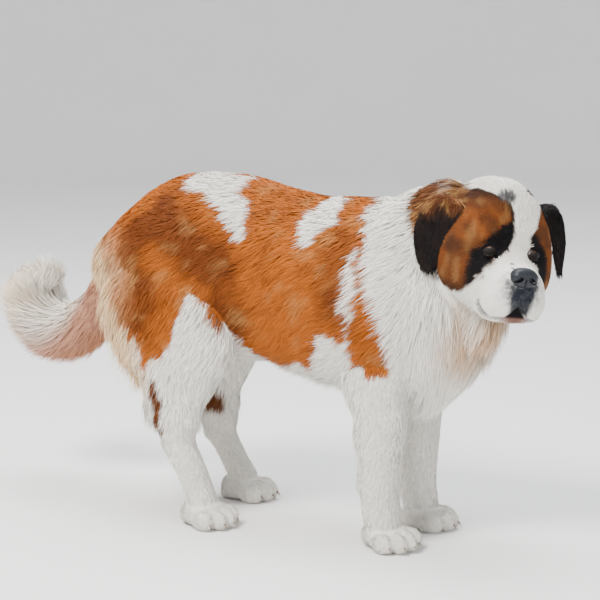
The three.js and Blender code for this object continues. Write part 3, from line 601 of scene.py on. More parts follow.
mantleLeft = [
    (-10, 830), (-20, 700), (16, 640), (20, 560), (-20, 480), (-60, 430), (-140, 400),
    (-220, 420), (-300, 404), (-350, 450), (-420, 480), (-470, 430), (-520, 380), (-560, 340),
    (-560, 420), (-600, 480), (-640, 540), (-680, 600), (-720, 700), (-660, 830)]
croupLeft = [(-500, 830), (-470, 752), (-430, 742), (-400, 750), (-380, 830)]
flankSpotLeft = [(-250, 640), (-190, 655), (-160, 610), (-190, 560), (-240, 575)]
shadeRoutes = [  # strength, fading from and to, and a route through the mantle's darker fur and painted shade: the flank fold, the thigh and behind the shoulder
    (1.0, 75, 15, [(-500, 0, 690), (-440, 0, 640), (-340, 0, 575), (-330, 0, 470)]),
    (0.7, 70, 10, [(-570, 0, 640), (-540, 0, 470)]),
    (0.55, 60, 10, [(-60, 0, 640), (-60, 0, 520)]),
]
hockStreak = [(-520, 0, 330), (-512, 0, 262), (-512, 0, 215)]
faceMarks = {  # where the brown and the mask begin beside the blaze, at heights on the head
    "heights": [-110, -79, -56, -34, -11, 2, 28, 66, 90, 105, 112, 125],
    "near": [-90, -81, -66, -56, -37, -4, 6, 5, -1, -24, -50, -70],
    "far": [90, 81, 66, 58, 48, 40, 36, 62, 78, 56, 40, 34],
    "maskHeights": [-95, -78, -62, -29, -4, 12, 30, 45, 58],
    "mask": [78, 84, 84, 84, 80, 66, 50, 34, 8],
    "flecks": [(120, -9, -12), (146, -18, -13)],
}


def insideOf(x, z, outline):  # signed distance to an outline, positive inside
    corners = np.array(outline, float)
    inside = np.zeros(len(x), bool)
    best = np.full(len(x), 1e9)
    for (ax, az), (bx, bz) in zip(corners, np.roll(corners, -1, 0)):
        t = np.clip(((x - ax) * (bx - ax) + (z - az) * (bz - az))
                    / ((bx - ax) ** 2 + (bz - az) ** 2 + 1e-9), 0, 1)
        best = np.minimum(best, (x - ax - t * (bx - ax)) ** 2 + (z - az - t * (bz - az)) ** 2)
        crosses = (az > z) != (bz > z)
        inside ^= crosses & (x < (bx - ax) * (z - az) / (bz - az + 1e-12) + ax)
    return np.where(inside, 1, -1) * np.sqrt(best)


def painted(colour, name, amount):
    return colour + (np.array(markColours[name]) - colour) * np.clip(amount, 0, 1)[:, None]


def plain(name, count):
    return np.tile(np.array(markColours[name]), (count, 1))


def bodyMarks(points):
    wobble = patchyVector(points, 34, 11) * 9 + patchyVector(points, 13, 12) * 5
    x, y, z = (points + wobble).T
    right = y < 0
    mantle = np.where(right, insideOf(x, z, mantleRight), insideOf(x, z, mantleLeft))
    pendant = np.where(right, insideOf(x, z, pendantRight), -99)
    white = np.where(right,
                     np.maximum(insideOf(x, z, croupRight), insideOf(x, z, saddleSpotRight)),
                     np.maximum(insideOf(x, z, croupLeft), insideOf(x, z, flankSpotLeft)))
    rust = ease(-3, 5, np.maximum(mantle, pendant)) * ease(300, 360, z)
    rearward = ease(-540, -670, x) * ease(680, 560, z)
    cream = 0.95 * ease(-490, -600, x) * ease(270, 350, z)
    colour = painted(plain("white", len(points)), "cream", cream)
    colour = painted(colour, "rust", rust * (1 - 0.65 * rearward))
    flat = np.stack([x, 0 * x, z], -1)
    # painted shade in umber along these routes, in the flank fold, on the thigh and behind the
    # shoulder, over darker mottled fur
    shade = sum(strength * ease(begin, end, toRoute(flat, route))
                for strength, begin, end, route in shadeRoutes)
    mottled = patchy(points, 46, 21)
    dark = shade * 1.05 * (0.5 + mottled) + 0.3 * ease(0.5, 0.9, mottled)
    colour = painted(colour, "umber", rust * (1 - rearward) * np.clip(dark, 0, 0.85))
    streaks = patchy(points * (0.35, 1, 1), 14, 23)
    colour = painted(colour, "umber", rust * 0.35 * ease(0.55, 0.9, streaks))
    colour = painted(colour, "blond", rust * 0.34 * ease(0.6, 0.95, patchy(points, 30, 22)))
    return painted(colour, "white", ease(-3, 4, white))


def legMarks(colour, points, places):
    x, y, z = (points + patchyVector(points, 20, 13) * 7).T
    streak = ease(16, 5, toRoute(np.stack([x, y * 0, z], -1), hockStreak))
    colour = painted(colour, "chestnut", streak * (y < 0) * (x < -496))
    patch = ease(30, 14, np.hypot(x + 520, (z - 240) * 0.7)) * (y > 40) * (y < 118)
    return painted(colour, "chestnut", patch * places.share("leg_hind_left"))


def headMarks(head):
    wobble = patchyVector(head, 16, 41) * 4 + patchyVector(head, 6, 42) * 2
    x, y, z = (head + wobble).T
    near = np.interp(z, faceMarks["heights"], faceMarks["near"])
    far = np.interp(z, faceMarks["heights"], faceMarks["far"])
    side = np.maximum(ease(-3, 4, near - y), ease(-3, 4, y - far))
    bottom = ease(-92, -82, z + 0.06 * x)
    nape = ease(-110, -70, x)
    muzzle = ease(118, 106, x + 0.25 * np.maximum(-20 - z, 0))
    brown = side * bottom * nape * muzzle
    colour = painted(plain("white", len(head)), "chestnut", brown)
    bright = ease(0.35, 0.75, patchy(head, 22, 43))
    colour = painted(colour, "rust", 0.32 * brown * bright * ease(-90, 20, z))
    flow = head * (0.5, 1, 0.4)
    colour = painted(colour, "sable", 0.5 * brown * ease(0.5, 0.9, patchy(flow, 12, 47)))
    colour = painted(colour, "blond", 0.22 * brown * ease(0.6, 0.9, patchy(flow, 12, 48)))
    browEdge = ease(16, 3, np.abs(y - near)) * ease(40, 70, z)
    colour = painted(colour, "sable", 0.8 * brown * browEdge)
    reach = np.interp(z, faceMarks["maskHeights"], faceMarks["mask"])
    mask = ease(-7, 6, reach - np.abs(y - 5)) * ease(34, 50, x)
    colour = painted(colour, "black", brown * mask)
    colour = painted(colour, "sable", brown * 0.75 * ease(92, 108, z))
    colour = painted(colour, "sable", brown * 0.6 * ease(-62, -84, z))
    spot = ease(17, 9, np.hypot(np.hypot(x - 33, (y + 6) * 0.8), z - 104))
    colour = painted(colour, "grey", spot * 0.9)
    for at in faceMarks["flecks"]:
        colour = painted(colour, "grey", ease(7, 3.5, np.linalg.norm(head - np.array(at), axis=1)))
    below = ease(34, 22, np.abs(y) - 0.18 * (z + 50)) * ease(-38, -50, z) * ease(120, 150, x)
    colour = painted(colour, "grey", below * (0.86 + 0.14 * patchy(head, 5, 46)))
    around = ease(50, 24, np.hypot(y * 0.95, (z + 44) * 0.8)) * ease(146, 160, x)
    coarse, fine = patchy(head, 7, 44), patchy(head, 3.2, 45)
    fleck = ease(0.38, 0.62, coarse) * 0.5 + 0.5 * ease(0.3, 0.6, fine)
    colour = painted(colour, "grey", around * np.clip(fleck + 0.35 * ease(30, 14, np.abs(y)), 0, 1))
    lips = ease(8, 3.5, toRoute(head, lipRoute))
    colour = painted(colour, "black", lips * 0.95)
    # painted shade: the opening between the flews is black, for the dark lips and the shade inside
    # the mouth
    colour = painted(colour, "black", cleftDepth(head) * ease(-124, -114, head[:, 2]))
    chin = ease(-112, -119, head[:, 2]) * ease(34, 20, np.abs(head[:, 1]))
    colour = painted(colour, "pink", 0.7 * (chin * ease(120, 140, head[:, 0])))
    root = ease(66, 40, np.linalg.norm(head - np.array((-66, -108, 84)), axis=1))
    colour = painted(colour, "chestnut", root)
    return painted(colour, "blond", 0.4 * root * bright)


def coatColour(points, places):
    colour = legMarks(bodyMarks(points), points, places)
    x, y, z = points.T
    onHead = ease(0.12, 0.42, places.share("head") + places.share("jaw"))
    neckWhite = np.maximum(places.share("neck"), ease(-10, 30, x) * ease(560, 640, z))
    neckEdge = ease(-40, -10, x + 24 * (patchy(points, 30, 51) - 0.5))
    band = insideOf(x, z, pendantRight) + 10 * (patchy(points, 16, 55) - 0.5)
    neckEdge = neckEdge * (1 - ease(-3, 5, band) * (y < 0))
    colour = painted(colour, "white", neckWhite * neckEdge)
    # painted shade under the head: the throat is tinted blond, for the shadow there and for wet fur
    throatShadeAndWetFur = ease(135, 50, np.linalg.norm(places.head - np.array((58, -14, -180)), axis=1))
    throatShadeAndWetFur = throatShadeAndWetFur * (0.35 + 0.65 * patchy(points, 34, 54))
    colour = painted(colour, "blond", 0.85 * throatShadeAndWetFur)
    onTail = ease(0.3, 0.7, places.share("tail"))
    dark = ease(0.14, -0.16, places.t["tail"] - 0.50 - 0.22 * np.sin(places.angle["tail"]))
    cream = 0.5 * ease(0.3, 0.9, patchy(points, 40, 52))
    plume = painted(painted(plain("white", len(points)), "cream", cream), "rust", dark * 0.8)
    for amount, own in ((onTail, plume), (onHead, headMarks(places.head))):
        colour = colour * (1 - amount[:, None]) + amount[:, None] * own
    fromRoot = (places.head - np.array((-60, -104, 80))) * (1, 1, 0.8)
    root = ease(74, 60, np.linalg.norm(fromRoot, axis=1))
    colour = painted(colour, "chestnut", root * (1 - 0.6 * onHead))
    colour = painted(colour, "blond", root * 0.45 * ease(0.4, 0.8, patchy(points, 12, 53)))
    return np.clip(colour, 0.005, 0.95)


def earColour(head, hand):
    mottled = patchy(head, 18, 61)
    colour = painted(plain("black", len(head)), "sable", 0.8 * mottled)
    if hand < 0:
        top = ease(36, 84, head[:, 2] + 26 * (mottled - 0.5) - 0.35 * np.abs(head[:, 0] + 46))
        colour = painted(colour, "chestnut", top)
        colour = painted(colour, "sable", 0.5 * top * ease(0.6, 0.3, mottled))
        colour = painted(colour, "blond", 0.5 * top * ease(0.5, 0.85, patchy(head, 9, 62)))
    return colour


class Value:  # a node socket that can be used in sums
    def __init__(self, surface, socket):
        self.surface, self.socket = surface, socket

    def math(self, operation, other, swap=False):
        pair = (other, self) if swap else (self, other)
        return self.surface.node("ShaderNodeMath", {"operation": operation}, pair)

    def __add__(self, other):
        return self.math("ADD", other)

    def __radd__(self, other):
        return self.math("ADD", other, True)

    def __sub__(self, other):
        return self.math("SUBTRACT", other)

    def __rsub__(self, other):
        return self.math("SUBTRACT", other, True)

    def __mul__(self, other):
        return self.math("MULTIPLY", other)

    def __rmul__(self, other):
        return self.math("MULTIPLY", other, True)


class Surface:  # one node material
    def __init__(self, name, **fixed):
        self.material = bpy.data.materials.new(name)
        self.material.use_nodes = True
        self.nodes = self.material.node_tree.nodes
        self.links = self.material.node_tree.links
        self.nodes.clear()
        self.shader = self.nodes.new("ShaderNodeBsdfPrincipled")
        output = self.nodes.new("ShaderNodeOutputMaterial")
        self.links.new(self.shader.outputs[0], output.inputs["Surface"])
        for socket, value in fixed.items():
            self.shader.inputs[socket.replace("_", " ")].default_value = value
        self.place = self.node("ShaderNodeTexCoord", output=3)  # object coordinates

    def node(self, kind, settings=None, inputs=(), output=0):
        made = self.nodes.new(kind)
        for key, value in (settings or {}).items():
            if key == "stops":
                ramp = made.color_ramp
                while len(ramp.elements) < len(value):
                    ramp.elements.new(0.5)
                for element, (place, colour) in zip(ramp.elements, value):
                    element.position, element.color = place, colour
            else:
                setattr(made, key, value)
        pairs = inputs.items() if isinstance(inputs, dict) else enumerate(inputs)
        for key, value in pairs:
            if isinstance(value, Value):
                self.links.new(value.socket, made.inputs[key])
            elif value is not None:
                made.inputs[key].default_value = value
        return Value(self, made.outputs[output])

    def feed(self, socket, value):
        self.links.new(value.socket, self.shader.inputs[socket])

    def mixed(self, blend, factor, first, second):
        return self.node("ShaderNodeMix", {"data_type": "RGBA", "blend_type": blend},
                         {0: factor, 6: first, 7: second}, 2)

    def scaled(self, colour, level):
        return self.node("ShaderNodeVectorMath", {"operation": "SCALE"}, {0: colour, 3: level})

    def carried(self, name, output=2):  # a value, or with output 0 a colour, from the mesh
        return self.node("ShaderNodeAttribute", {"attribute_name": name}, (), output)

    def noise(self, scale, detail):
        return self.node("ShaderNodeTexNoise", None,
                         {"Vector": self.place, "Scale": scale, "Detail": detail})

    def ramp(self, value, stops):
        stops = [(place, (*colour, 1)) for place, colour in stops]
        return self.node("ShaderNodeValToRGB", {"stops": stops}, (value,))

    def bumped(self, height, strength, distance):
        return self.node("ShaderNodeBump", None,
                         {"Strength": strength, "Distance": distance, "Height": height})


furLook = {
    "grain": 420.0, "grainDepth": 0.2, "least": 0.80, "spread": 0.28,  # light and dark tufts
    "rootShadeToTip": [(0.0, (0.62, 0.58, 0.54)), (0.35, (0.88, 0.87, 0.85)), (1.0, (1.06, 1.05, 1.04))],
}
skinLook = {"fine": 900.0, "broad": 120.0, "least": 0.66, "fineDepth": 0.30, "broadDepth": 0.14}
noseLook = {
    "cells": 520.0, "broad": 60.0, "least": 0.36, "spread": 0.22, "pit": (0.004, 0.004, 0.004, 1),
    "leather": [(0.0, (0.004, 0.004, 0.006)), (1.0, (0.015, 0.018, 0.027))],
}
eyeLook = {  # colours from the pupil's middle outward
    "fibres": 900.0, "ring": [
        (0.0, (0.002, 0.002, 0.002)), (0.15, (0.003, 0.002, 0.002)),
        (0.18, (0.075, 0.026, 0.007)), (0.31, (0.048, 0.018, 0.006)),
        (0.38, (0.006, 0.004, 0.003)), (0.52, (0.05, 0.03, 0.025))],
}
lidLook = {
    "fine": 700.0, "haw": (0.085, 0.02, 0.017, 1),
    "rim": [(0.0, (0.004, 0.003, 0.003)), (1.0, (0.014, 0.010, 0.009))],
}
clawLook = {  # colours from the root to the tip
    "grain": 500.0,
    "horn": [(0.0, (0.30, 0.20, 0.15)), (0.5, (0.16, 0.11, 0.085)), (1.0, (0.42, 0.34, 0.27))],
}


def furMaterial():
    fur = Surface("fur", Roughness=0.66, Specular_IOR_Level=0.12)
    # painted shade: each tuft is darker toward its root, where shade falls between the tufts, and a
    # little lighter at its tip
    depth = fur.ramp(fur.carried("strand"), furLook["rootShadeToTip"])
    grain = fur.noise(furLook["grain"], 2.0)
    level = (furLook["least"] + furLook["spread"] * fur.carried("tuftShade")
             + furLook["grainDepth"] * (grain - 0.5))
    toned = fur.mixed("MULTIPLY", 1.0, fur.carried("coatColour", 0), depth)
    fur.feed("Base Color", fur.scaled(toned, level))
    return fur.material


def skinMaterial():
    skin = Surface("skin", Roughness=0.8, Specular_IOR_Level=0.1)
    fine, broad = skin.noise(skinLook["fine"], 3.0), skin.noise(skinLook["broad"], 2.0)
    level = skinLook["least"] + skinLook["fineDepth"] * fine + skinLook["broadDepth"] * broad
    skin.feed("Base Color", skin.scaled(skin.carried("coatColour", 0), level))
    skin.feed("Normal", skin.bumped(fine, 0.5, 0.0012))
    return skin.material


def noseMaterial():
    nose = Surface("noseLeather", Specular_IOR_Level=0.3, Coat_Weight=0.06, Coat_Roughness=0.3)
    cells = nose.node("ShaderNodeTexVoronoi", {"feature": "SMOOTH_F1"},
                      {"Vector": nose.place, "Scale": noseLook["cells"], "Smoothness": 0.5})
    broad = nose.noise(noseLook["broad"], 3.0)
    leather = nose.ramp(broad, noseLook["leather"])
    nose.feed("Base Color", nose.mixed("MIX", nose.carried("pit"), leather, noseLook["pit"]))
    nose.feed("Roughness", noseLook["least"] + noseLook["spread"] * broad)
    nose.feed("Normal", nose.bumped(cells, 0.5, 0.0007))
    return nose.material


def eyeMaterial():
    eye = Surface("eyeball", Roughness=0.4, Specular_IOR_Level=0.2, Coat_Weight=0.3,
                  Coat_Roughness=0.04)
    away = eye.carried("fromPupil") + 0.04 * (eye.noise(eyeLook["fibres"], 2.0) - 0.5)
    eye.feed("Base Color", eye.ramp(away, eyeLook["ring"]))
    return eye.material


def lidMaterial():
    lid = Surface("lidRim", Roughness=0.7, Specular_IOR_Level=0.15)
    fine = lid.noise(lidLook["fine"], 2.0)
    rim = lid.ramp(fine, lidLook["rim"])
    lid.feed("Base Color", lid.mixed("MIX", lid.carried("haw"), rim, lidLook["haw"]))
    lid.feed("Normal", lid.bumped(fine, 0.4, 0.0004))
    return lid.material


def clawMaterial():
    claw = Surface("clawHorn", Roughness=0.42, Specular_IOR_Level=0.5)
    grain = claw.noise(clawLook["grain"], 3.0)
    along = claw.carried("fromBase") * 0.8 + 0.3 * (grain - 0.3)
    claw.feed("Base Color", claw.ramp(along, clawLook["horn"]))
    claw.feed("Normal", claw.bumped(grain, 0.3, 0.0004))
    return claw.material


# The model goes into the frame by the middle of its left eye.
eyeLow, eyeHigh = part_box("eye_left")
eyeMiddle = (np.array(eyeLow) + np.array(eyeHigh)) / 2
shift = eyeMiddle - fromHead(np.array(headShape["eye"], float)) * mm


def toFrame(points):
    return np.asarray(points, float) * mm + shift


def setAttribute(mesh, name, kind, values):
    attribute = mesh.attributes.new(name, kind, "POINT")
    field = "color" if kind == "FLOAT_COLOR" else "value"
    attribute.data.foreach_set(field, np.asarray(values, np.float32).ravel())


def withAlpha(colour):
    return np.concatenate([colour, np.ones((len(colour), 1))], -1)


def quickMesh(name, points, faces):  # faces is an array with the same count of corners in each
    mesh = bpy.data.meshes.new(name)
    corners = faces.shape[1]
    mesh.vertices.add(len(points))
    mesh.vertices.foreach_set("co", points.astype(np.float32).ravel())
    mesh.loops.add(faces.size)
    mesh.loops.foreach_set("vertex_index", faces.astype(np.int32).ravel())
    mesh.polygons.add(len(faces))
    mesh.polygons.foreach_set("loop_start", np.arange(len(faces), dtype=np.int32) * corners)
    mesh.update(calc_edges=True)
    mesh.polygons.foreach_set("use_smooth", np.ones(len(faces), bool))
    return mesh


fleshNodes = ["torso", "neck", "head", "lower_jaw", "ear_left", "ear_right",
              "tail_base", "tail_plume"]
for name in legPlaces:
    fleshNodes.append("paw_" + name)
    upper, lower = ("upper_arm", "forearm") if name.startswith("fore") else ("thigh", "shank")
    fleshNodes += [upper + "_" + name, lower + "_" + name]


def buildSkin():
    shells, tones = [(skinPoints, skinQuads.tolist())], [coatColour(skinPoints, skinPlaces)]
    for hand in (-1, 1):
        earPoints, earFaces, _ = earShell(hand)
        shells.append((earPoints, earFaces))
        tones.append(earColour(toHead(earPoints), hand))
    points, faces = mergedShells(shells)
    mesh = newMesh("skin", toFrame(points), faces)
    setAttribute(mesh, "coatColour", "FLOAT_COLOR", withAlpha(np.vstack(tones)))
    skin = newPiece("skin", mesh, skinMaterial())
    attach(skin, "root")
    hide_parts(*fleshNodes)
    print("skin built")


buildSkin()

eyeShape = {"facing": (0.86, 0.5, -0.04), "smaller": 1.6, "deeper": 2.2, "bulge": 0.07}
lidShape = {  # rise and thickness of the upper and the lower lid, and how far round they go
    "upper": (0.30, 6.0), "lower": (-0.46, 4.0), "reach": 66, "tilt": 0.10, "deeper": 2.2,
    "facing": (0.86, 0.5, 0),
}


def eyeCentre(hand):
    return np.array(headShape["eye"], float) * (1, hand, 1)


def buildEyes():
    material = eyeMaterial()
    radius = headShape["eyeRadius"] - eyeShape["smaller"]
    for hand, name in ((1, "left"), (-1, "right")):
        facing = unit(np.array(eyeShape["facing"]) * (1, hand, 1))
        side = unit(np.cross((0, 0, 1), facing))
        up = np.cross(facing, side)
        p, way = globe(64, 48)
        bulge = 1 + eyeShape["bulge"] * np.exp(-(p / 0.55) ** 4)
        rings = (way[..., :1] * facing + way[..., 1:2] * side
                 + way[..., 2:] * up) * (radius * bulge)[..., None]
        centre = eyeCentre(hand) - facing * eyeShape["deeper"]
        points, faces = closedTube(fromHead(rings + centre))
        mesh = newMesh("eye_" + name, toFrame(points), faces)
        setAttribute(mesh, "fromPupil", "FLOAT", np.concatenate([(p / math.pi).ravel(), [0, 1]]))
        eye = newPiece("eyeball_" + name, mesh, material)
        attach(eye, "root")
        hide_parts("eye_" + name)


def lidRings(hand, rise, thickness, steps=40, around=14):
    facing = unit(np.array(lidShape["facing"]) * (1, hand, 1))
    sideways = np.array((-facing[1], facing[0], 0))
    angle = circle(around)
    rings = []
    for swing in np.linspace(-lidShape["reach"], lidShape["reach"], steps + 1) * degree:
        out = facing * math.cos(swing) * 0.9 + sideways * math.sin(swing)
        lift = math.cos(swing) * rise + lidShape["tilt"] * math.sin(swing) * -hand
        out = unit(out + np.array((0, 0, lift)))
        middle = eyeCentre(hand) + out * (headShape["eyeRadius"] - lidShape["deeper"])
        thick = thickness * (0.5 + 0.5 * math.cos(swing))
        across = unit(np.array((0, 0, 1)) - out * out[2])
        rings.append(middle + np.outer(np.cos(angle), out) * thick * 0.75
                     + np.outer(np.sin(angle), across) * thick)
    return np.array(rings)


def buildLids():
    material = lidMaterial()
    shells, haws = [], []
    for hand in (1, -1):
        for name, redness in (("upper", 0.15), ("lower", 1.0)):
            points, faces = closedTube(lidRings(hand, *lidShape[name]))
            shells.append((fromHead(points), faces))
            near = np.linalg.norm(points - eyeCentre(hand), axis=1)
            haws.append(ease(11.0, 9.4, near) * redness)
    points, faces = mergedShells(shells)
    mesh = newMesh("lids", toFrame(points), faces)
    setAttribute(mesh, "haw", "FLOAT", np.concatenate(haws))
    lids = newPiece("lids", mesh, material)
    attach(lids, "root")


noseShape = {"corner": 2.7, "grooveDepth": 3.2, "pitDepth": 9.5, "rim": 1.6, "forward": 0.6}


def buildNose():
    x, z = headShape["nose"]
    size = np.array([headShape[key] for key in ("noseDepth", "noseWidth", "noseHeight")], float)
    way = globe(128, 96)[1]
    boxy = (np.abs(way) ** noseShape["corner"]).sum(-1, keepdims=True) ** (-1 / noseShape["corner"])
    points = way * boxy * size
    w, h = points[..., 1], points[..., 2]
    points[..., 1] *= 1 - 0.16 * ease(0, -20, h)          # narrower below
    points[..., 2] -= 3.0 * (w / size[1]) ** 2 * ease(-2, 12, h)
    front = ease(2, 12, points[..., 0])
    groove = np.exp(-(w / 1.7) ** 2) * ease(8, -4, h) * front
    points[..., 0] -= noseShape["grooveDepth"] * groove
    side = np.abs(w)
    hole = np.hypot((side - 12.5) / 6.4, (h + 1.5 + 0.28 * (side - 12.5)) / 5.0)
    slit = np.hypot((side - 20) / 7.0, (h + 6.5) / 2.4)
    pit = np.maximum(ease(1.15, 0.62, hole), ease(1.2, 0.5, slit)) * front
    points[..., 0] -= noseShape["pitDepth"] * pit
    wing = np.exp(-((side - 19) / 5) ** 2 - ((h - 4) / 7) ** 2)
    points[..., 0] += noseShape["rim"] * wing * front
    points, faces = closedTube(fromHead(points + np.array((x + noseShape["forward"], 0, z))))
    mesh = newMesh("nose", toFrame(points), faces)
    setAttribute(mesh, "pit", "FLOAT", np.concatenate([pit.ravel(), [0, 0]]))
    nose = newPiece("nose", mesh, noseMaterial())
    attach(nose, "root")
    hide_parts("nose_pad")


clawShape = {"length": 15.0, "radius": 4.6, "drop": 11.0, "height": 20.0, "start": -10}


def buildClaws():
    shells, along, nodes = [], [], []
    t, angle = np.linspace(0, 1, 15), circle(16)
    radius = clawShape["radius"] * (1 - 0.8 * t ** 1.4)
    height = clawShape["height"] - clawShape["drop"] * t ** 2
    for name, (x, y, out) in legPlaces.items():
        for k, (toeX, toeY) in enumerate(toes):
            start = toeX + toeRadii[0] + clawShape["start"]
            rings = np.stack([
                (start + clawShape["length"] * t)[:, None] + 0 * angle,
                toeY + np.outer(radius * 0.8, np.cos(angle)),
                height[:, None] + np.outer(radius, np.sin(angle))], -1)
            shells.append(closedTube(rings @ turning(out, 0, 0).T + np.array((x, y, 0))))
            along.append(np.concatenate([np.repeat(t, len(angle)), [0, 1]]))
            nodes.append(f"claw_{name}_{k + 1}")
    points, faces = mergedShells(shells)
    mesh = newMesh("claws", toFrame(points), faces)
    setAttribute(mesh, "fromBase", "FLOAT", np.concatenate(along))
    claws = newPiece("claws", mesh, clawMaterial())
    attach(claws, "root")
    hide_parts(*nodes)


buildEyes()
buildLids()
buildNose()
buildClaws()
print("eyes, lids, nose and claws built")

coatRegions = {  # tufts per square metre, length, height over the skin, width, joints, clumps
    "torso": {"density": 118000, "length": 38, "height": 11, "width": 2.4, "joints": 2,
              "clump": 17, "slot": "coat_rust"},
    "neck": {"density": 125000, "length": 54, "height": 16, "width": 2.5, "joints": 3,
             "clump": 17, "slot": "coat_white"},
    "head": {"density": 520000, "length": 8.5, "height": 2.8, "width": 1.15, "joints": 2,
             "clump": 6, "slot": "coat_white"},
    "legs": {"density": 190000, "length": 21, "height": 6, "width": 1.9, "joints": 2,
             "clump": 10, "slot": "coat_white"},
    "hips": {"density": 120000, "length": 40, "height": 12, "width": 2.5, "joints": 3,
             "clump": 17, "slot": "coat_cream"},
    "paws": {"density": 300000, "length": 10, "height": 2.6, "width": 1.4, "joints": 2,
             "clump": 6, "slot": "coat_white"},
    "tail": {"density": 210000, "length": 66, "height": 34, "width": 2.8, "joints": 4,
             "clump": 17, "slot": "coat_cream"},
    "ears": {"density": 260000, "length": 14, "height": 2.6, "width": 1.6, "joints": 2,
             "clump": 8, "slot": "coat_dark"},
}
tuftShape = {"roll": 1.3, "riseLeast": 0.45, "riseSpread": 0.6, "rooted": 1.2, "clumping": 0.75,
             "curl": 0.05, "clumpReach": 0.22, "bakeSpread": 0.003}
coatLimit = 190000  # triangles in one piece
hocksBelow = 235  # under this height a hind leg has the short coat
coatThinning = 1.0
draw = np.random.default_rng(7)


def regionOf(places, points):
    names = np.array(places.names)[places.nearest].astype(str)
    region = np.full(len(points), "torso", dtype=object)
    for start, value in (("neck", "neck"), ("head", "head"), ("jaw", "head"), ("leg", "legs"),
                         ("paw", "paws"), ("tail", "tail")):
        region[np.char.startswith(names, start)] = value
    region[np.char.startswith(names, "leg_hind") & (points[:, 2] > hocksBelow)] = "hips"
    return region


def scattered(points, quads, normals, density):  # random places on a mesh of quads
    a, b, c, d = (points[quads[:, k]] for k in range(4))
    area = 0.5 * np.linalg.norm(np.cross(c - a, d - b), axis=1) * 1e-6
    perFace = density[quads].mean(1) if np.ndim(density) else density
    count = draw.poisson(area * perFace)
    face = np.repeat(np.arange(len(quads)), count)
    u, v = draw.random(len(face))[:, None], draw.random(len(face))[:, None]
    w = [(1 - u) * (1 - v), u * (1 - v), u * v, (1 - u) * v]
    spots = sum(w[k] * points[quads[face, k]] for k in range(4))
    lean = unit(sum(w[k] * normals[quads[face, k]] for k in range(4)))
    return spots, lean


def lieOf(points, places):  # which way the coat lies
    x, y, z = points.T
    head, share = places.head, places.share
    ny = np.clip(np.abs(y) / 160, 0, 1)

    def lay(weight, dx, dy, dz):
        way = unit(np.stack([dx + 0 * x, dy + 0 * x, dz + 0 * x], -1))
        return weight[:, None] * way

    rump = ease(-600, -720, x)
    chest = ease(40, 130, x)
    lie = lay(share("torso"), -1 * (1 - 0.7 * rump) * (1 - 0.8 * chest), 0,
              -0.12 - 0.5 * ny - 0.9 * rump - 1.1 * chest - 0.3 * ease(440, 360, z))
    lie += lay(share("neck"), -0.75 + 0.4 * chest, 0,
               -0.35 - 0.6 * ny - 0.8 * ease(640, 540, z))
    hz, hx = head[:, 2], head[:, 0]
    upward = np.interp(hz, [-140, -90, -40, 0, 40, 100], [-1.2, -0.8, -0.35, 0.15, 0.6, 0.2])
    faceWay = np.stack([-1 + 0 * x, 0.45 * head[:, 1] / 80, upward], -1)
    onTop = ease(40, -30, hx) * ease(0, 60, hz)
    faceWay[:, 2] -= 0.9 * onTop
    faceWay[:, 1] += 0.4 * np.sign(head[:, 1]) * onTop
    lie += (share("head") + share("jaw"))[:, None] * (unit(faceWay) @ headTurn.T)
    lie += lay(share("leg_fore"), -0.16, 0, -1)
    lie += lay(share("leg_hind"), -0.4 * ease(200, 420, z) - 0.08, 0, -1)
    for name, (_, _, out) in legPlaces.items():
        way = turning(out, 0, 0) @ np.array((0.75, 0, -0.66))
        lie += places.weight["paw_" + name][:, None] * way
    best = np.clip((places.t["tail"] * 160).astype(int), 0, 160)
    return lie + share("tail")[:, None] * tailAlong[best]


def clumpPull(points, size, seed):  # the way to the middle of the nearest clump
    cell = np.floor(points / size).astype(np.int64)
    best = np.full(len(points), 1e9)
    pull = np.zeros_like(points)
    for step in product((-1, 0, 1), repeat=3):
        c = cell + step
        spot = np.stack([lattice(*c.T, seed + k) for k in range(3)], -1)
        way = (c + spot) * size - points
        away = (way ** 2).sum(-1)
        nearer = away < best
        best = np.where(nearer, away, best)
        pull = np.where(nearer[:, None], way, pull)
    return pull


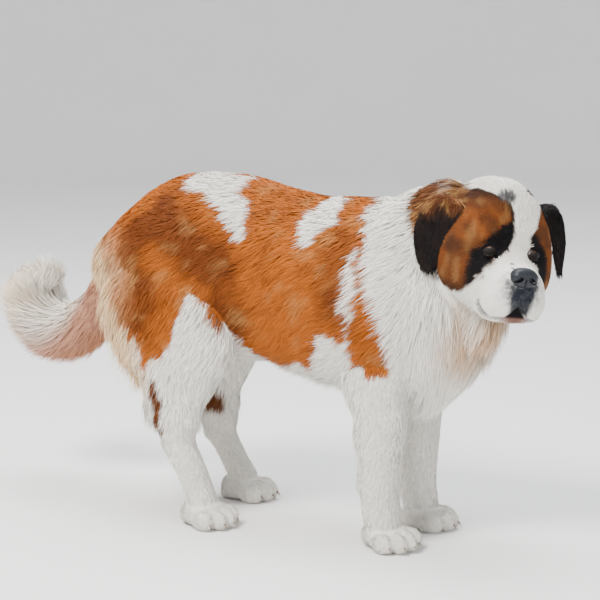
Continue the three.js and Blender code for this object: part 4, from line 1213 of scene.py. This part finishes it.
def tuftMesh(name, joints, roots, normals, lie, pull, colour, patch, shapes):
    count, length = len(roots), shapes["length"]
    side = unit(np.cross(normals, lie))
    roll = (draw.random(count) - 0.5)[:, None] * tuftShape["roll"]
    side = unit(side * np.cos(roll) + normals * np.sin(roll))
    rise = shapes["height"] * (tuftShape["riseLeast"]
                               + tuftShape["riseSpread"] * draw.random(count))
    wave = draw.random(count) * 2 * math.pi
    rows, strands = [], []
    for row in range(joints + 1):
        s = row / joints
        lift = rise * (1 - (1 - s) ** 1.8) * (1 - 0.25 * s * s)
        middle = roots + lie * (length * s)[:, None]
        middle = middle + normals * (lift - tuftShape["rooted"] * (1 - s))[:, None]
        middle = middle + pull * (tuftShape["clumping"] * s * s)
        middle[:, 2] -= shapes["droop"] * length * s * s
        curl = tuftShape["curl"] * length * np.sin(wave + 3.4 * s) * s
        middle = middle + side * curl[:, None]
        half = shapes["width"] / 2 * (0.55 + 0.9 * s * (1 - s) * 2) * (1 - s ** 2.2)
        edges = [middle - side * half[:, None], middle + side * half[:, None]]
        if row == joints:
            edges = [middle]
        rows.append(np.stack(edges, 1))
        strands.append(np.full((count, len(edges)), s))
    points = np.concatenate(rows, 1)
    points[..., 2] = np.maximum(points[..., 2], 0.8)  # never under the floor
    perTuft = points.shape[1]
    faces = []
    for a in range(0, 2 * joints - 2, 2):
        faces += [(a, a + 1, a + 3), (a, a + 3, a + 2)]
    faces.append((2 * joints - 2, 2 * joints - 1, 2 * joints))
    every = (np.arange(count)[:, None, None] * perTuft + np.array(faces)[None]).reshape(-1, 3)
    mesh = quickMesh(name, toFrame(points.reshape(-1, 3)), every)
    setAttribute(mesh, "coatColour", "FLOAT_COLOR", withAlpha(np.repeat(colour, perTuft, 0)))
    strand = np.concatenate(strands, 1)
    setAttribute(mesh, "strand", "FLOAT", strand)
    setAttribute(mesh, "tuftShade", "FLOAT", np.repeat(draw.random(count), perTuft))
    across = np.broadcast_to([0.0, 1.0] * joints + [0.5], strand.shape)
    spot = patch[:, None, :] + np.stack([across - 0.5, strand - 0.5], -1) * tuftShape["bakeSpread"]
    flat = spot.reshape(-1, 2)[every.ravel()]
    bake = mesh.uv_layers.new(name="OFBake")
    bake.data.foreach_set("uv", np.clip(flat, 0.001, 0.999).astype(np.float32).ravel())
    return mesh


def unwrapOf(places, keep):  # a place for each root on a flat layout of its own form
    index = places.nearest[keep]
    used = sorted(set(index.tolist()))
    u, v = np.zeros(len(index)), np.zeros(len(index))
    for k, i in enumerate(used):
        mine, name = index == i, places.names[i]
        u[mine] = (k + 0.03 + 0.94 * places.t[name][keep][mine]) / len(used)
        v[mine] = places.angle[name][keep][mine] / (2 * math.pi) % 1
    return np.stack([0.01 + 0.98 * u, 0.01 + 0.98 * v], -1)


coatFur = furMaterial()


def addCoat(region, roots, normals, lie, colour, patch, shapes):
    settings = coatRegions[region]
    perTuft = 2 * settings["joints"] - 1  # triangles
    order = np.argsort(roots[:, 0 if region == "tail" else 1], kind="stable")
    parts = max(1, math.ceil(len(roots) / (coatLimit // perTuft)))
    for k, part in enumerate(np.array_split(order, parts)):
        name = f"coat_{region}" + (f"_{k + 1}" if parts > 1 else "")
        own = {key: values[part] for key, values in shapes.items()}
        pull = clumpPull(roots[part], settings["clump"], 91)
        pull -= normals[part] * (pull * normals[part]).sum(-1, keepdims=True)
        limit = tuftShape["clumpReach"] * own["length"]
        size = np.linalg.norm(pull, axis=1)
        pull *= np.minimum(1, limit / (size + 1e-6))[:, None]
        mesh = tuftMesh(name, settings["joints"], roots[part], normals[part], lie[part], pull,
                        colour[part], patch[part], own)
        piece = newPiece(name, mesh, coatFur)
        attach(piece, "root")
        print(name, perTuft * len(part), "triangles")
    return perTuft * len(roots)


def shapesOf(places, spots, region):  # each tuft's length, height, width and droop
    length, height, width, droop = np.zeros((4, len(spots)))
    for key, settings in coatRegions.items():
        mine = region == key
        length[mine], height[mine] = settings["length"], settings["height"]
        width[mine] = settings["width"]
    x, z = spots[:, 0], spots[:, 2]
    torso, neck, hips = region == "torso", region == "neck", region == "hips"
    face, legs, tail = region == "head", region == "legs", region == "tail"
    length[torso] *= (0.8 + 0.35 * ease(700, 560, z) + 0.45 * ease(400, 330, z)
                      + 0.3 * ease(60, 140, x) + 0.35 * ease(-640, -720, x))[torso]
    height[torso] *= (0.9 + 0.5 * ease(360, 320, z))[torso]
    droop[torso] = (0.10 + 0.35 * ease(390, 330, z))[torso]
    length[neck] *= (0.62 + 0.5 * ease(640, 520, z))[neck]
    height[neck] *= (0.85 + 0.5 * ease(600, 480, z))[neck]
    droop[neck] = 0.16
    rear = ease(-20, -110, x - np.interp(z, [300, 440, 560], [-495, -520, -575]))
    length[hips] *= (0.8 + 1.1 * rear)[hips]
    height[hips] *= (0.8 + 1.9 * rear)[hips]
    droop[hips] = (0.08 + 0.2 * rear)[hips]
    back = np.zeros(len(spots))
    for name in legPlaces:
        form = "leg_" + name
        back = np.maximum(back, places.weight[form] * ease(0.2, 0.9, -np.sin(places.angle[form])))
    length[legs] *= (0.72 + 1.0 * back * ease(110, 200, z))[legs]
    height[legs] *= (0.66 + 1.0 * back * ease(110, 200, z))[legs]
    droop[legs] = 0.04
    hx, hz = places.head[:, 0], places.head[:, 2]
    cheek = ease(30, -60, hx)
    crown = ease(70, 110, hz) * ease(70, 20, hx)
    front = 0.5 * ease(150, 90, hx)
    length[face] *= (0.55 + front + 1.9 * cheek + 0.7 * crown)[face]
    height[face] *= (0.5 + front + 1.0 * cheek + 0.5 * crown)[face]
    width[face] *= (0.75 + 0.6 * cheek)[face]
    length[face] *= (1 + 0.9 * ease(-96, -120, hz) * ease(120, 60, hx))[face]
    t = places.t["tail"]
    reach = smoothRead(plumeReach, t)[:, 0]
    inner = ease(0.45, 0.6, t) * ease(0.2, -0.5, np.sin(places.angle["tail"]))
    height[tail] = (reach * (1 - plumeCore) * (0.95 + 1.5 * inner))[tail]
    length[tail] *= (1 + 0.2 * inner)[tail]
    length[tail] *= (0.62 + 0.55 * ease(0.1, 0.5, t) - 0.35 * ease(0.75, 1, t))[tail]
    droop[tail] = 0.10
    length *= 0.75 + 0.5 * draw.random(len(spots))
    length *= 0.86 + 0.28 * patchy(spots, 40, 73)
    width *= 0.8 + 0.4 * draw.random(len(spots))
    return {"length": length, "height": height, "width": width, "droop": droop}


bareAround = {"eye": 17.5, "nose": (22, 30, 20), "chin": -117, "floor": 7}


def bareSkin(spots, head):  # no coat on the eyes, the nose, between the flews and underfoot
    eyes = np.minimum(*(np.linalg.norm(head - eyeCentre(hand), axis=1) for hand in (1, -1)))
    noseX, noseZ = headShape["nose"]
    fromNose = (head - (noseX, 0, noseZ)) / bareAround["nose"]
    inNose = np.linalg.norm(fromNose, axis=1) < 1.02
    inCleft = (cleftDepth(head) > 0.5) & (head[:, 2] > bareAround["chin"])
    return (eyes < bareAround["eye"]) | inNose | inCleft | (spots[:, 2] < bareAround["floor"])


def growCoat():
    region = regionOf(skinPlaces, skinPoints)
    density = np.zeros(len(skinPoints))
    for key, settings in coatRegions.items():
        density[region == key] = settings["density"]
    density[(region == "head") & (skinPlaces.head[:, 0] < 0)] *= 0.62  # longer hair there
    spots, normals = scattered(skinPoints, skinQuads, skinNormals, density * coatThinning)
    places = Places(spots)
    region = regionOf(places, spots)
    colour = coatColour(spots, places)
    lie = lieOf(spots, places) + patchyVector(spots, 75, 71) * 0.30
    lie = lie + patchyVector(spots, 24, 72) * 0.14
    lie += draw.normal(0, 0.07, lie.shape)
    lie = unit(lie - normals * (lie * normals).sum(-1, keepdims=True))
    bare = bareSkin(spots, places.head)
    shapes = shapesOf(places, spots, region)
    count = 0
    for key in coatRegions:
        keep = np.nonzero((region == key) & ~bare)[0]
        if len(keep):
            own = {name: values[keep] for name, values in shapes.items()}
            count += addCoat(key, spots[keep], normals[keep], lie[keep], colour[keep],
                             unwrapOf(places, keep), own)
    return count


def growEarCoat():
    settings = coatRegions["ears"]
    grown = []
    for k, hand in enumerate((-1, 1)):
        points, faces, around = earShell(hand)
        quads = np.array([f for f in faces if len(f) == 4])
        lean = vertexNormals(points, quads)
        outer = quads[:, 0] % around < around / 2
        if ((lean[quads[outer, 0]] @ headTurn)[:, 1] * hand).mean() < 0:
            lean = -lean
        spots, leans = scattered(points, quads, lean, settings["density"] * coatThinning)
        head = toHead(spots)
        lie = np.tile(np.array((-0.05, 0.05, -1.0)), (len(spots), 1))
        lie += patchyVector(spots, 30, 75) * 0.22 + draw.normal(0, 0.08, lie.shape)
        lie = unit(lie - leans * (lie * leans).sum(-1, keepdims=True))
        inward = (leans @ headTurn)[:, 1] * hand < 0
        u = np.clip((head[:, 2] + 90) / 180, 0, 1)
        v = np.clip((head[:, 0] + 100) / 130, 0, 1)
        patch = np.stack([(2 * k + inward + 0.05 + 0.9 * u) / 4, 0.03 + 0.94 * v], -1)
        grown.append((spots, leans, lie, earColour(head, hand), patch))
    roots, normals, lies, tones, patches = (np.vstack(part) for part in zip(*grown))
    top = ease(30, 80, toHead(roots)[:, 2])
    length = settings["length"] * (0.75 + 0.5 * draw.random(len(roots))) * (1 + 0.25 * top)
    shapes = {"length": length, "height": settings["height"] * (1 + 0.5 * top),
              "width": settings["width"] * (0.8 + 0.4 * draw.random(len(roots))),
              "droop": np.full(len(roots), 0.05)}
    return addCoat("ears", roots, normals, lies, tones, patches, shapes)


print("coat", growCoat() + growEarCoat(), "triangles")

studio = {
    "floorColours": [(0.0, (0.86, 0.855, 0.84)), (1.0, (0.90, 0.895, 0.88))],
    "bowlRadius": 11.0, "bowlHeight": 7.0, "bend": 3,
    "worldColour": (0.92, 0.95, 1.0, 1), "worldStrength": 0.68,
}


def buildFloor():
    radius, bend, around = studio["bowlRadius"], studio["bend"], 96
    profile = [(0.02, 0), (2, 0), (5, 0), (radius - bend, 0)]
    profile += [(radius - bend + bend * math.sin(a), bend - bend * math.cos(a))
                for a in np.linspace(0.12, math.pi / 2, 12)] + [(radius, studio["bowlHeight"])]
    angle = circle(around)
    points = np.vstack([np.stack([r * np.cos(angle), r * np.sin(angle), z + 0 * angle], -1)
                        for r, z in profile])
    faces = gridQuads(len(profile), around)
    faces.append(list(range(around))[::-1])
    look = Surface("paper", Roughness=0.85)
    look.feed("Base Color", look.ramp(look.noise(1.2, 2.0), studio["floorColours"]))
    floor = newPiece("floor", newMesh("floor", points, faces), look.material)


lamps = {  # place, target, size, power and colour
    "key": ((-0.4, -3.6, 4.6), (0, 0, 0.5), 1.8, 520, (1.0, 0.98, 0.95)),
    "sky": ((-0.6, 0.8, 5.2), (0, 0, 0.4), 4.0, 400, (0.95, 0.98, 1.0)),
    "fill": ((4.2, -2.4, 2.2), (0, 0, 0.5), 2.5, 50, (0.97, 0.98, 1.0)),
}


def addLamp(name, place, target, size, power, colour):
    data = bpy.data.lights.new(name, "AREA")
    data.shape, data.size, data.size_y = "RECTANGLE", size, size
    data.energy, data.color = power, colour
    lamp = bpy.data.objects.new(name, data)
    bpy.context.scene.collection.objects.link(lamp)
    lamp.location = place
    lamp.rotation_mode = "QUATERNION"
    lamp.rotation_quaternion = (Vector(target) - Vector(place)).to_track_quat("-Z", "Y")


def lightStudio():
    for name, values in lamps.items():
        addLamp(name, *values)
    world = bpy.data.worlds.new("studio")
    bpy.context.scene.world = world
    world.use_nodes = True
    background = world.node_tree.nodes["Background"]
    background.inputs[0].default_value = studio["worldColour"]
    background.inputs[1].default_value = studio["worldStrength"]


cameraSettings = {"azimuth": 30, "height": 10, "distance": 4500, "target": (-250, 0, 400),
                  "lens": 123.0, "sensor": 36, "targetBelow": 44 / 600}


def placeCamera():
    azimuth, height = cameraSettings["azimuth"] * degree, cameraSettings["height"] * degree
    back = np.array((math.sin(azimuth) * math.cos(height), -math.cos(azimuth) * math.cos(height),
                     math.sin(height)))
    spot = toFrame(np.array(cameraSettings["target"], float) + back * cameraSettings["distance"])
    data = bpy.data.cameras.new("camera")
    data.lens, data.sensor_width = cameraSettings["lens"], cameraSettings["sensor"]
    data.shift_y = cameraSettings["targetBelow"]
    camera = bpy.data.objects.new("camera", data)
    bpy.context.scene.collection.objects.link(camera)
    camera.location = spot.tolist()
    camera.rotation_mode = "QUATERNION"
    camera.rotation_quaternion = (-Vector(back.tolist())).to_track_quat("-Z", "Y")
    bpy.context.scene.camera = camera


buildFloor()
lightStudio()
placeCamera()
print("studio ready")
